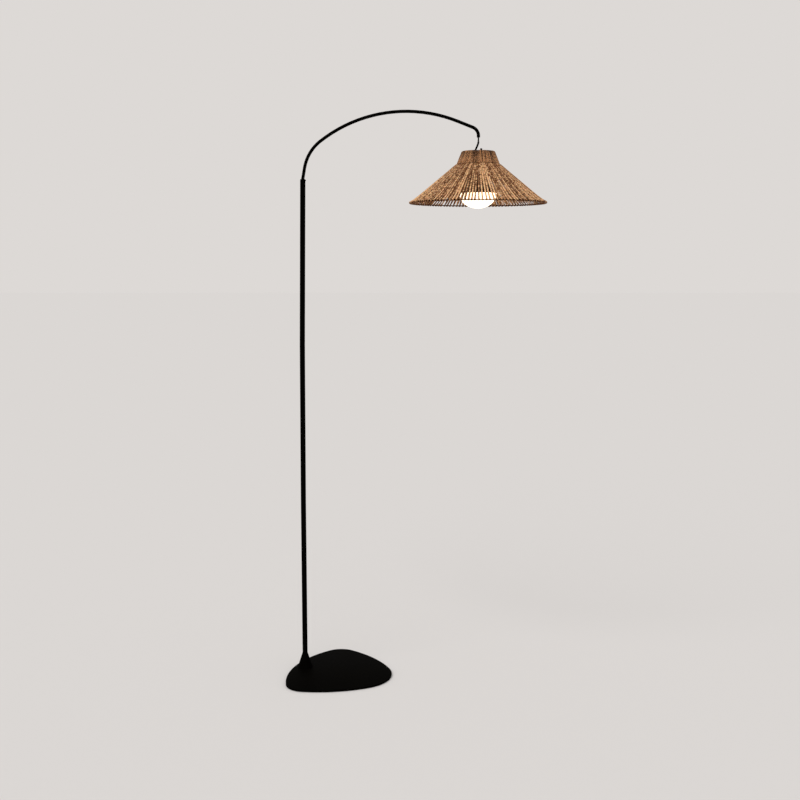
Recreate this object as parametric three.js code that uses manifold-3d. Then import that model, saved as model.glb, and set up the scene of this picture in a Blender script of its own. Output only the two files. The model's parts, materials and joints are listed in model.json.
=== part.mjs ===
// A floor lamp whose cane-wound shade hangs from a bent arm, in millimetres with +Z up.
// The origin is on the floor under the pole, and +X runs along the arm to the shade.
import * as THREE from "three";
import { mergeVertices } from "three/addons/utils/BufferGeometryUtils.js";
import Module from "manifold-3d";

const wasm = await Module();
wasm.setup();

// Fits that all pieces share
const FIT = 0.3; // clearance between two pieces that seat on each other
const OVERRUN = 6; // how far a cutting shape runs past the face that it opens
const WELD_GAP = 0.3; // clearance at the end of a wire that is butt-welded to another
const SAME_POINT = 0.0001; // vertices closer than this are one

// Base: a steel plate shaped like a rounded triangle, over a thin foam pad
const BASE_TURN_DEG = -22; // the plate's nose points this far round from +X
const BASE_SIDE_OFFSET = 6; // the plate's centre line passes this far beside the pole
const BASE_REAR = 34.5;
const BASE_NOSE = 303;
const BASE_WIDTH = 396;
const BASE_WIDEST_AT = 66.5;
const REAR_CORNER_RADIUS = 65;
const NOSE_RADIUS = 125;
const SIDE_RADIUS = 385;
const PLATE_THICKNESS = 6;
const PLATE_EDGE = 0.9;
const PAD_THICKNESS = 1.5;
const PAD_INSET = 4;

// Foot: a cast cone that holds the pole on the plate
const FOOT_HEIGHT = 49.5;
const FOOT_RADIUS = 24.8;
const FOOT_LIP = 0.5; // the foot's top stands this far outside the pole
// Outline of the cone: share of its height, share of the way in from its base to its top radius
const FLARE_SHARES = [
  [0.29, 0.29],
  [0.62, 0.63],
  [0.88, 0.9],
];
const SCREW_RADIUS = 2.5;
const SCREW_CIRCLE_RADIUS = 14;
const SCREW_GRIP = 9; // length of each screw inside the foot
const SCREW_HEAD_RADIUS = 4.8;
const SCREW_COUNT = 3;
const SCREW_FIRST_DEG = 30;
const GROMMET_RADIUS = 4.6;
const GROMMET_LENGTH = 9;
const GROMMET_LIP = 1.3;
const GROMMET_LIP_THICKNESS = 1.8;
const GROMMET_HEIGHT = 18; // of the cable inlet over the foot's underside

// Pole: three screwed sections, which the load bends a little toward the shade
const POLE_RADIUS = 8.5;
const POLE_WALL = 1.5;
const POLE_SECTION = 518;
const MIDDLE_LEAN_DEG = 0.25;
const UPPER_LEAN_DEG = 0.8;
const JOINER_LENGTH = 44;
const JOINER_COLLAR = 1.2; // thin ring of the joiner between two sections
const STUD_LENGTH = 40;

// Pole top: a reducing bush that the arm turns in
const COLLAR_HEAD = 9;
const COLLAR_SPIGOT = 26;
const COLLAR_CHAMFER = 2;
const GRUB_RADIUS = 2;
const GRUB_PROUD = 1.6;
const GUIDE_LENGTH = 14;

// Arm: one tube bent in a plane, given as its bending schedule
const ARM_RADIUS = 5.2;
const ARM_WALL = 1.5;
const ARM_TAIL = 90; // straight length inside the pole
const KINK_RADIUS = 12;
const KINK_DEG = 9.2;
const RISE = 32.6;
const SHOULDER_RADIUS = 136;
const SHOULDER_DEG = 42.6;
const BOW_RADIUS = 449;
const BOW_DEG = 58.8;
const RUN_OUT = 50.7;
const TIP_RADIUS = 28.4;
const TIP_STRAIGHT = 1; // after the last bend, above the room for the cord's link

// Cable inside the metalwork
const LEAD_RADIUS = 2.6;
const LEAD_SLACK = 0.45; // clearance of a hole that the lead passes through
const LEAD_BEND = 10;

// Hanging cord and its soft link in the arm's mouth
const MOUTH_DEPTH = 1.4; // the link turns this far inside the mouth
const LINK_RADIUS = 2.3;
const LINK_LENGTH = 15.2; // from the link's turning point to the cord's
const CORD_RADIUS = 3;
// The cord's bend: share of the way across to the grip, share of the way down to the hub
const CORD_SHARES = [
  [0, 0],
  [0.05, 0.13],
  [0.27, 0.33],
  [0.57, 0.54],
  [0.84, 0.72],
  [0.975, 0.865],
  [1, 1],
];
const CORD_TAIL = 7; // length of the cord's end below the lampholder cap's top wall

// Shade: two windings of cane over welded wire rings
const SHADE_DROP = 204.6; // from the arm's mouth down to the plane of the widest ring, on its axis
const RIM_RADIUS = 222;
const WAIST_RADIUS = 70; // of the skirt's upper ring wire
const SKIRT_HEIGHT = 115;
const TOP_RADIUS = 54.6;
const NECK_HEIGHT = 32.8;
const NEST_DEG = 38; // the neck's lower ring nests inside and above the skirt's upper ring
const WIRE_RADIUS = 1.75;
const SKIRT_CANE = 3.6;
const SKIRT_TURNS = 120;
const NECK_CANE = 3.2;
const NECK_TURNS = 96;
const CANE_RELIEF_SHARE = 0.42; // depth between two turns, as a share of the cane
const SLIT = 3; // gap in the inner layer, under the ring where the winding starts
const CANE_LAID = 4.7; // width that one turn of the skirt's cane covers
const SLOTS_PER_SECTOR = 6; // between two ribs
const SLOT_FROM_RIM = 4; // solid strip between the rim's round and a slot
const SLOT_END_SHARE = 0.55; // where the slots end, as a share of the slope
const ROUND_START_DEG = 12; // the flat under a ring, where the outer layer turns into the inner one
const RIB_COUNT = 3;
const RIB_FIRST_DEG = 15;

// Hub over the shade's top ring
const HUB_RADIUS = 18.5;
const HUB_THICKNESS = 2.5;
const HUB_OVER_RING = 1.5; // the hub plate's underside stands this far over the top ring's wire
const FIXING_OFFSET = 9; // of the cord grip and the cap screw from the shade's axis
const GRIP_RADIUS = 4.4;
const GRIP_FLANGE = 5.6;
const GRIP_FLANGE_THICKNESS = 2;
const GRIP_LENGTH = 10;
const CAP_SCREW_RADIUS = 2;
const CAP_SCREW_HEAD_RADIUS = 3.3;
const CAP_SCREW_HEAD = 10.5;
const NUT_RADIUS = 4;
const NUT_THICKNESS = 3.2;

// Lampholder
const HOLDER_RADIUS = 19.5;
const HOLDER_WALL = 2;
const CAP_TOP = 2.5;
const CAP_HEIGHT = 18;
const HOLDER_HEIGHT = 30;
const INSERT_THICKNESS = 4.5;
const SHELL_RADIUS = 14.4;
const SHELL_WALL = 0.6;
const SHELL_LENGTH = 24;
const CONTACT_RADIUS = 3.5;
const CONTACT_THICKNESS = 0.9;

// Bulb: a globe that glows below its widest line, under an opaque housing
const GLOBE_RADIUS = 59;
const GLOBE_DEPTH = 47; // from its widest line to its lowest point, flatter than a sphere
const GLOBE_WALL = 1.8;
const HOUSING_WALL = 1.7;
const BOARD_THICKNESS = 1.6;
const BOARD_INSET = 0.5;
const SCREW_CAP_RADIUS = 13.2;
const SCREW_CAP_WALL = 1;
const SCREW_CAP_LENGTH = 23;
const TIP_CONTACT_RADIUS = 5;
const TIP_CONTACT_HEIGHT = 3;
const BULB_NECK_RADIUS = 15.2;
const BULB_LENGTH = 156; // from the globe's lowest point to the tip contact
// Concave neck of the housing: share of its height over the globe, share of the way in to its neck
const HOUSING_SHARES = [
  [0.24, 0.45],
  [0.48, 0.74],
  [0.74, 0.93],
];

// Facets: sides and steps of round shapes
const PLATE_STEPS = { nose: 12, side: 9, corner: 10, rear: 6 };
const TUBE_SIDES = 20;
const ARM_SIDES = 10;
const ARM_BORE_SIDES = 8;
const SMALL_SIDES = 10;
const WIRE_SIDES = 6;
const NUT_SIDES = 6;
const END_STEPS = 3;
const ARC_STEPS = { kink: 1, shoulder: 7, bow: 14, tip: 7 };
const RING_SEGMENTS = 48;
const NECK_RING_SEGMENTS = 24;
const HOLDER_SEGMENTS = 24;
const GLOBE_SEGMENTS = 24;
const GLOBE_STEPS = 5;
const CORD_SIDES = 8;
const LEAD_SIDES = 6;
const CORD_STEPS = 12;
const LEAD_STEPS = 5;

// Finishes
const BLACK_STEEL = { color: 0x14120f, roughness: 0.55, metalness: 0.3 };
const DARK_PLASTIC = { color: 0x100f0e, roughness: 0.6, metalness: 0 };
const FOAM = { color: 0x1b1a19, roughness: 0.95, metalness: 0 };
const ZINC = { color: 0xb5b8ba, roughness: 0.35, metalness: 0.9 };
const BRASS = { color: 0xb89a55, roughness: 0.35, metalness: 0.9 };
const CORD_BLACK = { color: 0x0d0c0c, roughness: 0.8, metalness: 0 };
const CANE = { color: 0xa9794a, roughness: 0.75, metalness: 0 };
const NECK_CANE_FINISH = { color: 0x8f633b, roughness: 0.75, metalness: 0 };
const OPAL = { color: 0xfff6e6, roughness: 0.4, metalness: 0 };
const WHITE_PLASTIC = { color: 0xe9e7e2, roughness: 0.5, metalness: 0 };

const rad = THREE.MathUtils.degToRad;
const lamp = new THREE.Group();

// A named mesh of one geometry in one finish
function piece(name, geometry, finish, parent) {
  const mesh = new THREE.Mesh(geometry, new THREE.MeshStandardMaterial(finish));
  mesh.name = name;
  parent.add(mesh);
  return mesh;
}

function group(parent, x = 0, y = 0, z = 0) {
  const made = new THREE.Group();
  made.position.set(x, y, z);
  parent.add(made);
  return made;
}

// Booleans: a geometry as a solid, and a solid as a geometry
function solidOf(geometry) {
  const plain = geometry.clone();
  plain.deleteAttribute("normal");
  plain.deleteAttribute("uv");
  const merged = mergeVertices(plain, SAME_POINT);
  return new wasm.Manifold(
    new wasm.Mesh({
      numProp: 3,
      vertProperties: new Float32Array(merged.attributes.position.array),
      triVerts: new Uint32Array(merged.index.array),
    }),
  );
}

function geometryOf(solid) {
  const mesh = solid.getMesh();
  const geometry = new THREE.BufferGeometry();
  geometry.setAttribute("position", new THREE.BufferAttribute(mesh.vertProperties, mesh.numProp));
  geometry.setIndex(new THREE.BufferAttribute(mesh.triVerts, 1));
  geometry.computeVertexNormals();
  return geometry;
}

function cut(geometry, tools) {
  let solid = solidOf(geometry);
  for (const tool of tools) solid = solid.subtract(solidOf(tool));
  return geometryOf(solid);
}

function join(geometries) {
  let solid = solidOf(geometries[0]);
  for (const other of geometries.slice(1)) solid = solid.add(solidOf(other));
  return geometryOf(solid);
}

// A profile of [radius, height] pairs, anticlockwise, turned about +Z
function turned(profile, segments) {
  const points = profile.map(([r, z]) => new THREE.Vector2(r, z));
  return new THREE.LatheGeometry(points, segments).rotateX(Math.PI / 2);
}

// The same for a profile that doesn't reach the axis, closed on itself
function turnedRing(profile, segments) {
  return turned([...profile, profile[0]], segments);
}

function disc(radius, low, high, sides) {
  return new THREE.CylinderGeometry(radius, radius, high - low, sides)
    .rotateX(Math.PI / 2)
    .translate(0, 0, (low + high) / 2);
}

function sleeve(outer, inner, low, high, segments) {
  return turnedRing(
    [
      [inner, low],
      [outer, low],
      [outer, high],
      [inner, high],
    ],
    segments,
  );
}

// A round rod between two points
function rod(from, to, radius, sides) {
  const along = to.clone().sub(from);
  const made = new THREE.CylinderGeometry(radius, radius, along.length(), sides);
  const turn = new THREE.Quaternion().setFromUnitVectors(
    new THREE.Vector3(0, 1, 0),
    along.clone().normalize(),
  );
  const middle = from.clone().add(to).multiplyScalar(0.5);
  return made.applyQuaternion(turn).translate(middle.x, middle.y, middle.z);
}

function circleShape(radius, sides, holeRadius = 0, holeSides = sides) {
  const ring = (r, n) => {
    const points = [];
    for (let i = 0; i < n; i++) {
      const a = (2 * Math.PI * i) / n;
      points.push(new THREE.Vector2(r * Math.cos(a), r * Math.sin(a)));
    }
    return points;
  };
  const shape = new THREE.Shape(ring(radius, sides));
  if (holeRadius) shape.holes.push(new THREE.Path(ring(holeRadius, holeSides).reverse()));
  return shape;
}

function swept(shape, path) {
  const { steps } = path;
  return new THREE.ExtrudeGeometry(shape, { steps, extrudePath: path, bevelEnabled: false });
}

// Stations along straights and arcs in the XZ plane, stepped only where it bends.
// Each leg is { length } or { radius, turn, steps }; the lean is measured from +Z toward +X.
function bendStations(x, z, legs) {
  let lean = 0;
  const station = () => ({
    at: new THREE.Vector3(x, 0, z),
    along: new THREE.Vector3(Math.sin(lean), 0, Math.cos(lean)),
  });
  const stations = [station()];
  for (const { length, radius, turn = 0, steps = 1 } of legs) {
    const each = turn / steps;
    const chord = radius ? 2 * radius * Math.sin(Math.abs(each) / 2) : length;
    for (let i = 0; i < steps; i++) {
      x += chord * Math.sin(lean + each / 2);
      z += chord * Math.cos(lean + each / 2);
      lean += each;
      stations.push(station());
    }
  }
  return stations;
}

// A curve that an extrusion samples at its stations and nowhere else
class StationPath extends THREE.Curve {
  constructor(stations) {
    super();
    this.stations = stations;
    this.steps = stations.length - 1;
    this.end = stations[this.steps];
  }
  getUtoTmapping(u) {
    return u;
  }
  getPoint(t, target = new THREE.Vector3()) {
    return target.copy(this.stations[Math.round(t * this.steps)].at);
  }
  getTangent(t, target = new THREE.Vector3()) {
    return target.copy(this.stations[Math.round(t * this.steps)].along);
  }
}

// Base plate and pad
function arcPoints(points, x, y, radius, from, to, steps) {
  for (let i = 0; i < steps; i++) {
    const a = from + ((to - from) * i) / steps;
    points.push(new THREE.Vector2(x + radius * Math.cos(a), y + radius * Math.sin(a)));
  }
}

// Six arcs that run into each other, symmetric about the x axis, drawn in by inset
function baseShape(inset) {
  const rear = BASE_REAR - inset;
  const corner = REAR_CORNER_RADIUS - inset;
  const nose = NOSE_RADIUS - inset;
  const side = SIDE_RADIUS - inset;
  const cornerX = BASE_WIDEST_AT;
  const cornerY = BASE_WIDTH / 2 - REAR_CORNER_RADIUS;
  const noseX = BASE_NOSE - NOSE_RADIUS;
  const reach = rear + cornerX;
  const rearRadius = (reach ** 2 + cornerY ** 2 - corner ** 2) / (2 * (reach - corner));
  const rearX = rearRadius - rear;
  // The side arc's centre lies where it is tangent to the corner and to the nose
  const toCorner = side - corner;
  const toNose = side - nose;
  const between = Math.hypot(noseX - cornerX, cornerY);
  const along = (toCorner ** 2 - toNose ** 2 + between ** 2) / (2 * between);
  const away = Math.sqrt(toCorner ** 2 - along ** 2);
  const ux = (noseX - cornerX) / between;
  const uy = -cornerY / between;
  const sideX = cornerX + ux * along + uy * away;
  const sideY = cornerY + uy * along - ux * away;
  const atNose = Math.atan2(-sideY, noseX - sideX);
  const atCorner = Math.atan2(cornerY - sideY, cornerX - sideX);
  const atRear = Math.atan2(cornerY, cornerX - rearX);
  const turn = 2 * Math.PI;
  const points = [];
  arcPoints(points, noseX, 0, nose, -atNose, atNose, PLATE_STEPS.nose);
  arcPoints(points, sideX, sideY, side, atNose, atCorner, PLATE_STEPS.side);
  arcPoints(points, cornerX, cornerY, corner, atCorner, atRear, PLATE_STEPS.corner);
  arcPoints(points, rearX, 0, rearRadius, atRear, turn - atRear, PLATE_STEPS.rear);
  arcPoints(points, cornerX, -cornerY, corner, turn - atRear, turn - atCorner, PLATE_STEPS.corner);
  arcPoints(points, sideX, -sideY, side, turn - atCorner, turn - atNose, PLATE_STEPS.side);
  return new THREE.Shape(points);
}

const stand = group(lamp);
const base = group(stand);
base.rotation.z = rad(BASE_TURN_DEG);
const plateBottom = PAD_THICKNESS;
const plateTop = plateBottom + PLATE_THICKNESS;
const screwPlaces = [];
for (let i = 0; i < SCREW_COUNT; i++) {
  const a = rad(SCREW_FIRST_DEG - BASE_TURN_DEG) + (2 * Math.PI * i) / SCREW_COUNT;
  screwPlaces.push([SCREW_CIRCLE_RADIUS * Math.cos(a), SCREW_CIRCLE_RADIUS * Math.sin(a)]);
}
const countersink = SCREW_HEAD_RADIUS - SCREW_RADIUS;

// A countersunk screw from under the plate, grown by the clearance to make its hole
function screwShape(grow, low) {
  return turned(
    [
      [0, low],
      [SCREW_HEAD_RADIUS + grow, low],
      [SCREW_HEAD_RADIUS + grow, plateBottom + FIT],
      [SCREW_RADIUS + grow, plateBottom + FIT + countersink],
      [SCREW_RADIUS + grow, plateTop + SCREW_GRIP + grow],
      [0, plateTop + SCREW_GRIP + grow],
    ],
    SMALL_SIDES,
  );
}

const padGeometry = new THREE.ExtrudeGeometry(baseShape(PAD_INSET), {
  depth: PAD_THICKNESS,
  bevelEnabled: false,
});
piece("base_pad", padGeometry, FOAM, base).position.y = BASE_SIDE_OFFSET;

const plateBlank = new THREE.ExtrudeGeometry(baseShape(0), {
  depth: PLATE_THICKNESS - 2 * PLATE_EDGE,
  bevelThickness: PLATE_EDGE,
  bevelSize: PLATE_EDGE,
  bevelOffset: -PLATE_EDGE,
  bevelSegments: 1,
}).translate(0, BASE_SIDE_OFFSET, plateBottom + PLATE_EDGE);
const plateHoles = screwPlaces.map(([x, y]) =>
  screwShape(FIT, plateBottom - OVERRUN).translate(x, y, 0),
);
piece("base_plate", cut(plateBlank, plateHoles), BLACK_STEEL, base);
screwPlaces.forEach(([x, y], i) => {
  const screw = screwShape(0, plateBottom + FIT).translate(x, y, 0);
  piece(`base_screw_${i + 1}`, screw, ZINC, base);
});

// Foot, with the cable's inlet at its back
const footTop = plateTop + FOOT_HEIGHT;
const footTopRadius = POLE_RADIUS + FOOT_LIP;
const footRadiusAt = (inward) => FOOT_RADIUS + (footTopRadius - FOOT_RADIUS) * inward;
const leadHole = LEAD_RADIUS + LEAD_SLACK;
const poleBore = POLE_RADIUS - POLE_WALL;
const plugRadius = poleBore - FIT;
const inletZ = plateTop + GROMMET_HEIGHT;
const studBottom = footTop - STUD_LENGTH / 2;
const footBlank = turned(
  [
    [0, plateTop],
    [FOOT_RADIUS, plateTop],
    ...FLARE_SHARES.map(([up, inward]) => [footRadiusAt(inward), plateTop + up * FOOT_HEIGHT]),
    [footTopRadius, footTop],
    [0, footTop],
  ],
  HOLDER_SEGMENTS,
);
const inletCore = new THREE.Vector3(0, 0, inletZ);
const inletOut = new THREE.Vector3(0, FOOT_RADIUS + OVERRUN, inletZ);
const grommetInner = FOOT_RADIUS + GROMMET_LIP_THICKNESS - GROMMET_LENGTH;
const grommetStart = new THREE.Vector3(0, grommetInner - FIT, inletZ);
// The bend hole is a wide slot from the inlet to the axis, so the cable can turn upward in it
const bendSlot = new THREE.BoxGeometry(2 * leadHole, LEAD_BEND + leadHole, LEAD_BEND + leadHole);
bendSlot.translate(0, (LEAD_BEND - leadHole) / 2, inletZ + (LEAD_BEND - leadHole) / 2);
const footHoles = [
  rod(inletCore, inletOut, leadHole, SMALL_SIDES),
  rod(grommetStart, inletOut, GROMMET_RADIUS + FIT, SMALL_SIDES),
  bendSlot,
  disc(leadHole, inletZ, footTop + OVERRUN, SMALL_SIDES),
  disc(plugRadius + FIT, studBottom - FIT, footTop + OVERRUN, TUBE_SIDES),
];
for (let i = 0; i < SCREW_COUNT; i++) {
  const a = rad(SCREW_FIRST_DEG) + (2 * Math.PI * i) / SCREW_COUNT;
  const x = SCREW_CIRCLE_RADIUS * Math.cos(a);
  const y = SCREW_CIRCLE_RADIUS * Math.sin(a);
  footHoles.push(
    disc(SCREW_RADIUS + FIT, plateTop - OVERRUN, plateTop + SCREW_GRIP + FIT, SMALL_SIDES)
      .translate(x, y, 0),
  );
}
piece("foot", cut(footBlank, footHoles), BLACK_STEEL, stand);

const grommet = turnedRing(
  [
    [leadHole, 0],
    [GROMMET_RADIUS, 0],
    [GROMMET_RADIUS, GROMMET_LENGTH - GROMMET_LIP_THICKNESS],
    [GROMMET_RADIUS + GROMMET_LIP, GROMMET_LENGTH - GROMMET_LIP_THICKNESS],
    [GROMMET_RADIUS + GROMMET_LIP, GROMMET_LENGTH],
    [leadHole, GROMMET_LENGTH],
  ],
  SMALL_SIDES,
);
const grommetMesh = piece("cable_grommet", grommet, DARK_PLASTIC, stand);
grommetMesh.rotation.x = -Math.PI / 2;
grommetMesh.position.set(0, grommetInner, inletZ);

// Pole: each section carries the next, so the lean adds up as the load bends it
const stud = sleeve(plugRadius, leadHole, studBottom, studBottom + STUD_LENGTH, TUBE_SIDES);
piece("pole_stud", stud, ZINC, stand);
const lower = group(stand, 0, 0, footTop + FIT);
const middle = group(lower, 0, 0, POLE_SECTION + JOINER_COLLAR + 2 * FIT);
middle.rotation.y = rad(MIDDLE_LEAN_DEG);
const upper = group(middle, 0, 0, POLE_SECTION + JOINER_COLLAR + 2 * FIT);
upper.rotation.y = rad(UPPER_LEAN_DEG - MIDDLE_LEAN_DEG);
const tube = () => sleeve(POLE_RADIUS, poleBore, 0, POLE_SECTION, TUBE_SIDES);
piece("pole_lower", tube(), BLACK_STEEL, lower);
piece("pole_middle", tube(), BLACK_STEEL, middle);
piece("pole_upper", tube(), BLACK_STEEL, upper);

// A hollow joiner with a thin collar between the sections, sitting below the section that it enters
function joiner() {
  const collarTop = -FIT;
  const collarBottom = collarTop - JOINER_COLLAR;
  const half = JOINER_LENGTH / 2;
  return turnedRing(
    [
      [leadHole, collarBottom - half],
      [plugRadius, collarBottom - half],
      [plugRadius, collarBottom],
      [POLE_RADIUS, collarBottom],
      [POLE_RADIUS, collarTop],
      [plugRadius, collarTop],
      [plugRadius, collarTop + half],
      [leadHole, collarTop + half],
    ],
    TUBE_SIDES,
  );
}
piece("pole_joiner_lower", joiner(), BLACK_STEEL, middle);
piece("pole_joiner_upper", joiner(), BLACK_STEEL, upper);

// Collar at the pole's top, and the grub screw that holds the arm
const tubeTop = POLE_SECTION;
const headBottom = tubeTop + FIT;
const poleTop = headBottom + COLLAR_HEAD;
const armHole = ARM_RADIUS + FIT;
const grubZ = headBottom + COLLAR_HEAD / 2;
const collarBlank = turnedRing(
  [
    [armHole, headBottom - COLLAR_SPIGOT],
    [plugRadius, headBottom - COLLAR_SPIGOT],
    [plugRadius, headBottom],
    [POLE_RADIUS, headBottom],
    [POLE_RADIUS, poleTop - COLLAR_CHAMFER],
    [POLE_RADIUS - COLLAR_CHAMFER, poleTop],
    [armHole, poleTop],
  ],
  TUBE_SIDES,
);
const grubFrom = new THREE.Vector3(armHole + FIT, 0, grubZ);
const grubTo = new THREE.Vector3(POLE_RADIUS + GRUB_PROUD, 0, grubZ);
const axisAtGrub = new THREE.Vector3(0, 0, grubZ);
const grubHole = rod(axisAtGrub, grubTo, GRUB_RADIUS + FIT, SMALL_SIDES);
piece("pole_collar", cut(collarBlank, [grubHole]), BLACK_STEEL, upper);
piece("collar_screw", rod(grubFrom, grubTo, GRUB_RADIUS, SMALL_SIDES), BLACK_STEEL, upper);

// Cable inside the foot and the pole, up to the arm's tail
lamp.updateMatrixWorld(true);
const inletStart = new THREE.Vector3(0, FOOT_RADIUS + GROMMET_LIP_THICKNESS, inletZ);
const inletBend = bendStations(0, 0, [
  { length: inletStart.y - LEAD_BEND },
  { radius: LEAD_BEND, turn: -Math.PI / 2, steps: LEAD_STEPS },
]).map(({ at, along }) => ({
  at: new THREE.Vector3(0, inletStart.y - at.z, inletZ - at.x),
  along: new THREE.Vector3(0, -along.z, -along.x),
}));
const upInPole = [
  [middle, -JOINER_LENGTH],
  [middle, 0],
  [upper, -JOINER_LENGTH],
  [upper, 0],
  [upper, poleTop - ARM_TAIL - FIT],
].map(([section, z]) => ({
  at: section.localToWorld(new THREE.Vector3(0, 0, z)),
  along: new THREE.Vector3(0, 0, 1).transformDirection(section.matrixWorld),
}));
const poleLead = new StationPath([...inletBend, ...upInPole]);
const leadShape = circleShape(LEAD_RADIUS, LEAD_SIDES);
piece("pole_lead", swept(leadShape, poleLead), CORD_BLACK, stand);

// Arm: it turns about the upper section's axis
const arm = group(upper, 0, 0, poleTop);
const tipTurn = 180 - UPPER_LEAN_DEG - KINK_DEG - SHOULDER_DEG - BOW_DEG;
const linkRoom = MOUTH_DEPTH + LINK_RADIUS + FIT;
const armLegs = [
  { length: ARM_TAIL },
  { radius: KINK_RADIUS, turn: rad(KINK_DEG), steps: ARC_STEPS.kink },
  { length: RISE },
  { radius: SHOULDER_RADIUS, turn: rad(SHOULDER_DEG), steps: ARC_STEPS.shoulder },
  { radius: BOW_RADIUS, turn: rad(BOW_DEG), steps: ARC_STEPS.bow },
  { length: RUN_OUT },
  { radius: TIP_RADIUS, turn: rad(tipTurn), steps: ARC_STEPS.tip },
  { length: TIP_STRAIGHT },
];
const leadPath = new StationPath(bendStations(0, -ARM_TAIL, armLegs));
armLegs.push({ length: linkRoom });
const armPath = new StationPath(bendStations(0, -ARM_TAIL, armLegs));
const armShape = circleShape(ARM_RADIUS, ARM_SIDES, ARM_RADIUS - ARM_WALL, ARM_BORE_SIDES);
piece("arm_tube", swept(armShape, armPath), BLACK_STEEL, arm);
piece("arm_lead", swept(leadShape, leadPath), CORD_BLACK, arm);
const guide = sleeve(plugRadius, armHole, -ARM_TAIL, GUIDE_LENGTH - ARM_TAIL, TUBE_SIDES);
piece("arm_guide_bush", guide, DARK_PLASTIC, arm);

// Link: the bare end of the cord's strain wire, which swings in the arm's mouth
const mouth = group(arm, armPath.end.at.x, 0, armPath.end.at.z);
mouth.rotation.y = rad(-UPPER_LEAN_DEG);
const link = group(mouth, 0, 0, MOUTH_DEPTH);
const cordRoom = CORD_RADIUS + FIT;

// Profile of a round end over a straight side, from the axis at the bottom to the axis at the top
function roundTop(radius, bottom, steps) {
  const profile = [
    [0, bottom],
    [radius, bottom],
  ];
  for (let i = 0; i <= steps; i++) {
    const a = (Math.PI / 2) * (i / steps);
    profile.push([i === steps ? 0 : radius * Math.cos(a), radius * Math.sin(a)]);
  }
  return profile;
}
const linkProfile = roundTop(LINK_RADIUS, cordRoom - LINK_LENGTH, END_STEPS);
piece("hanging_link", turned(linkProfile, CORD_SIDES), CORD_BLACK, link);

// Shade: its origin is on its axis, in the plane of the widest ring's wire
const shade = group(mouth, 0, 0, -SHADE_DROP);
const skirtRound = WIRE_RADIUS + SKIRT_CANE; // from a ring's wire centre to the winding's outside
const neckRound = WIRE_RADIUS + NECK_CANE;
const nest = skirtRound + neckRound + FIT;
const bottomRing = { r: RIM_RADIUS - skirtRound, z: 0 };
const skirtRing = { r: WAIST_RADIUS, z: SKIRT_HEIGHT };
const neckRing = {
  r: skirtRing.r - nest * Math.sin(rad(NEST_DEG)),
  z: skirtRing.z + nest * Math.cos(rad(NEST_DEG)),
};
const topRing = { r: TOP_RADIUS - neckRound, z: neckRing.z + NECK_HEIGHT };

function wireRing(name, { r, z }, segments) {
  const profile = [];
  for (let i = 0; i < WIRE_SIDES; i++) {
    const a = (2 * Math.PI * i) / WIRE_SIDES;
    profile.push([r + WIRE_RADIUS * Math.cos(a), z + WIRE_RADIUS * Math.sin(a)]);
  }
  piece(name, turnedRing(profile, segments), BLACK_STEEL, shade);
}
wireRing("bottom_ring", bottomRing, RING_SEGMENTS);
wireRing("skirt_ring", skirtRing, RING_SEGMENTS);
wireRing("neck_ring", neckRing, NECK_RING_SEGMENTS);
wireRing("top_ring", topRing, NECK_RING_SEGMENTS);

const ribAngles = [];
for (let i = 0; i < RIB_COUNT; i++) {
  ribAngles.push(rad(RIB_FIRST_DEG) + (2 * Math.PI * i) / RIB_COUNT);
}
const onShade = ({ r, z }, a) => new THREE.Vector3(r * Math.cos(a), r * Math.sin(a), z);

// A wire welded between two rings, which stops short of both by the weld gap
function weldedWire(from, to, a) {
  const start = onShade(from, a);
  const end = onShade(to, a);
  const along = end.clone().sub(start).normalize();
  const trim = along.clone().multiplyScalar(WIRE_RADIUS + WELD_GAP);
  return rod(start.clone().add(trim), end.clone().sub(trim), WIRE_RADIUS, WIRE_SIDES);
}
ribAngles.forEach((a, i) => {
  piece(`skirt_rib_${i + 1}`, weldedWire(bottomRing, skirtRing, a), BLACK_STEEL, shade);
  piece(`waist_tie_${i + 1}`, weldedWire(skirtRing, neckRing, a), BLACK_STEEL, shade);
  piece(`neck_rib_${i + 1}`, weldedWire(neckRing, topRing, a), BLACK_STEEL, shade);
});

// Hub: a plate with welded arms over the top ring
const hubLow = topRing.z + HUB_OVER_RING;
const hubHigh = hubLow + HUB_THICKNESS;
const hubEdge = { r: HUB_RADIUS - HUB_THICKNESS, z: hubLow + WIRE_RADIUS + FIT };
function spiderArm(a, radius, trim) {
  const start = onShade(hubEdge, a);
  const end = onShade(topRing, a);
  const back = start.clone().sub(end).setLength(trim);
  return rod(start, end.add(back), radius, WIRE_SIDES);
}
const gripHole = GRIP_RADIUS + FIT;
const capScrewHole = CAP_SCREW_RADIUS + FIT;
const fixingHoles = (low, high) => [
  disc(gripHole, low, high, SMALL_SIDES).translate(-FIXING_OFFSET, 0, 0),
  disc(capScrewHole, low, high, SMALL_SIDES).translate(FIXING_OFFSET, 0, 0),
];
const hubArms = ribAngles.map((a) => spiderArm(a, WIRE_RADIUS, WIRE_RADIUS + WELD_GAP));
const hubBlank = join([disc(HUB_RADIUS, hubLow, hubHigh, HOLDER_SEGMENTS), ...hubArms]);
const hub = cut(hubBlank, fixingHoles(hubLow - OVERRUN, hubHigh + OVERRUN));
piece("spider_hub", hub, BLACK_STEEL, shade);

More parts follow.
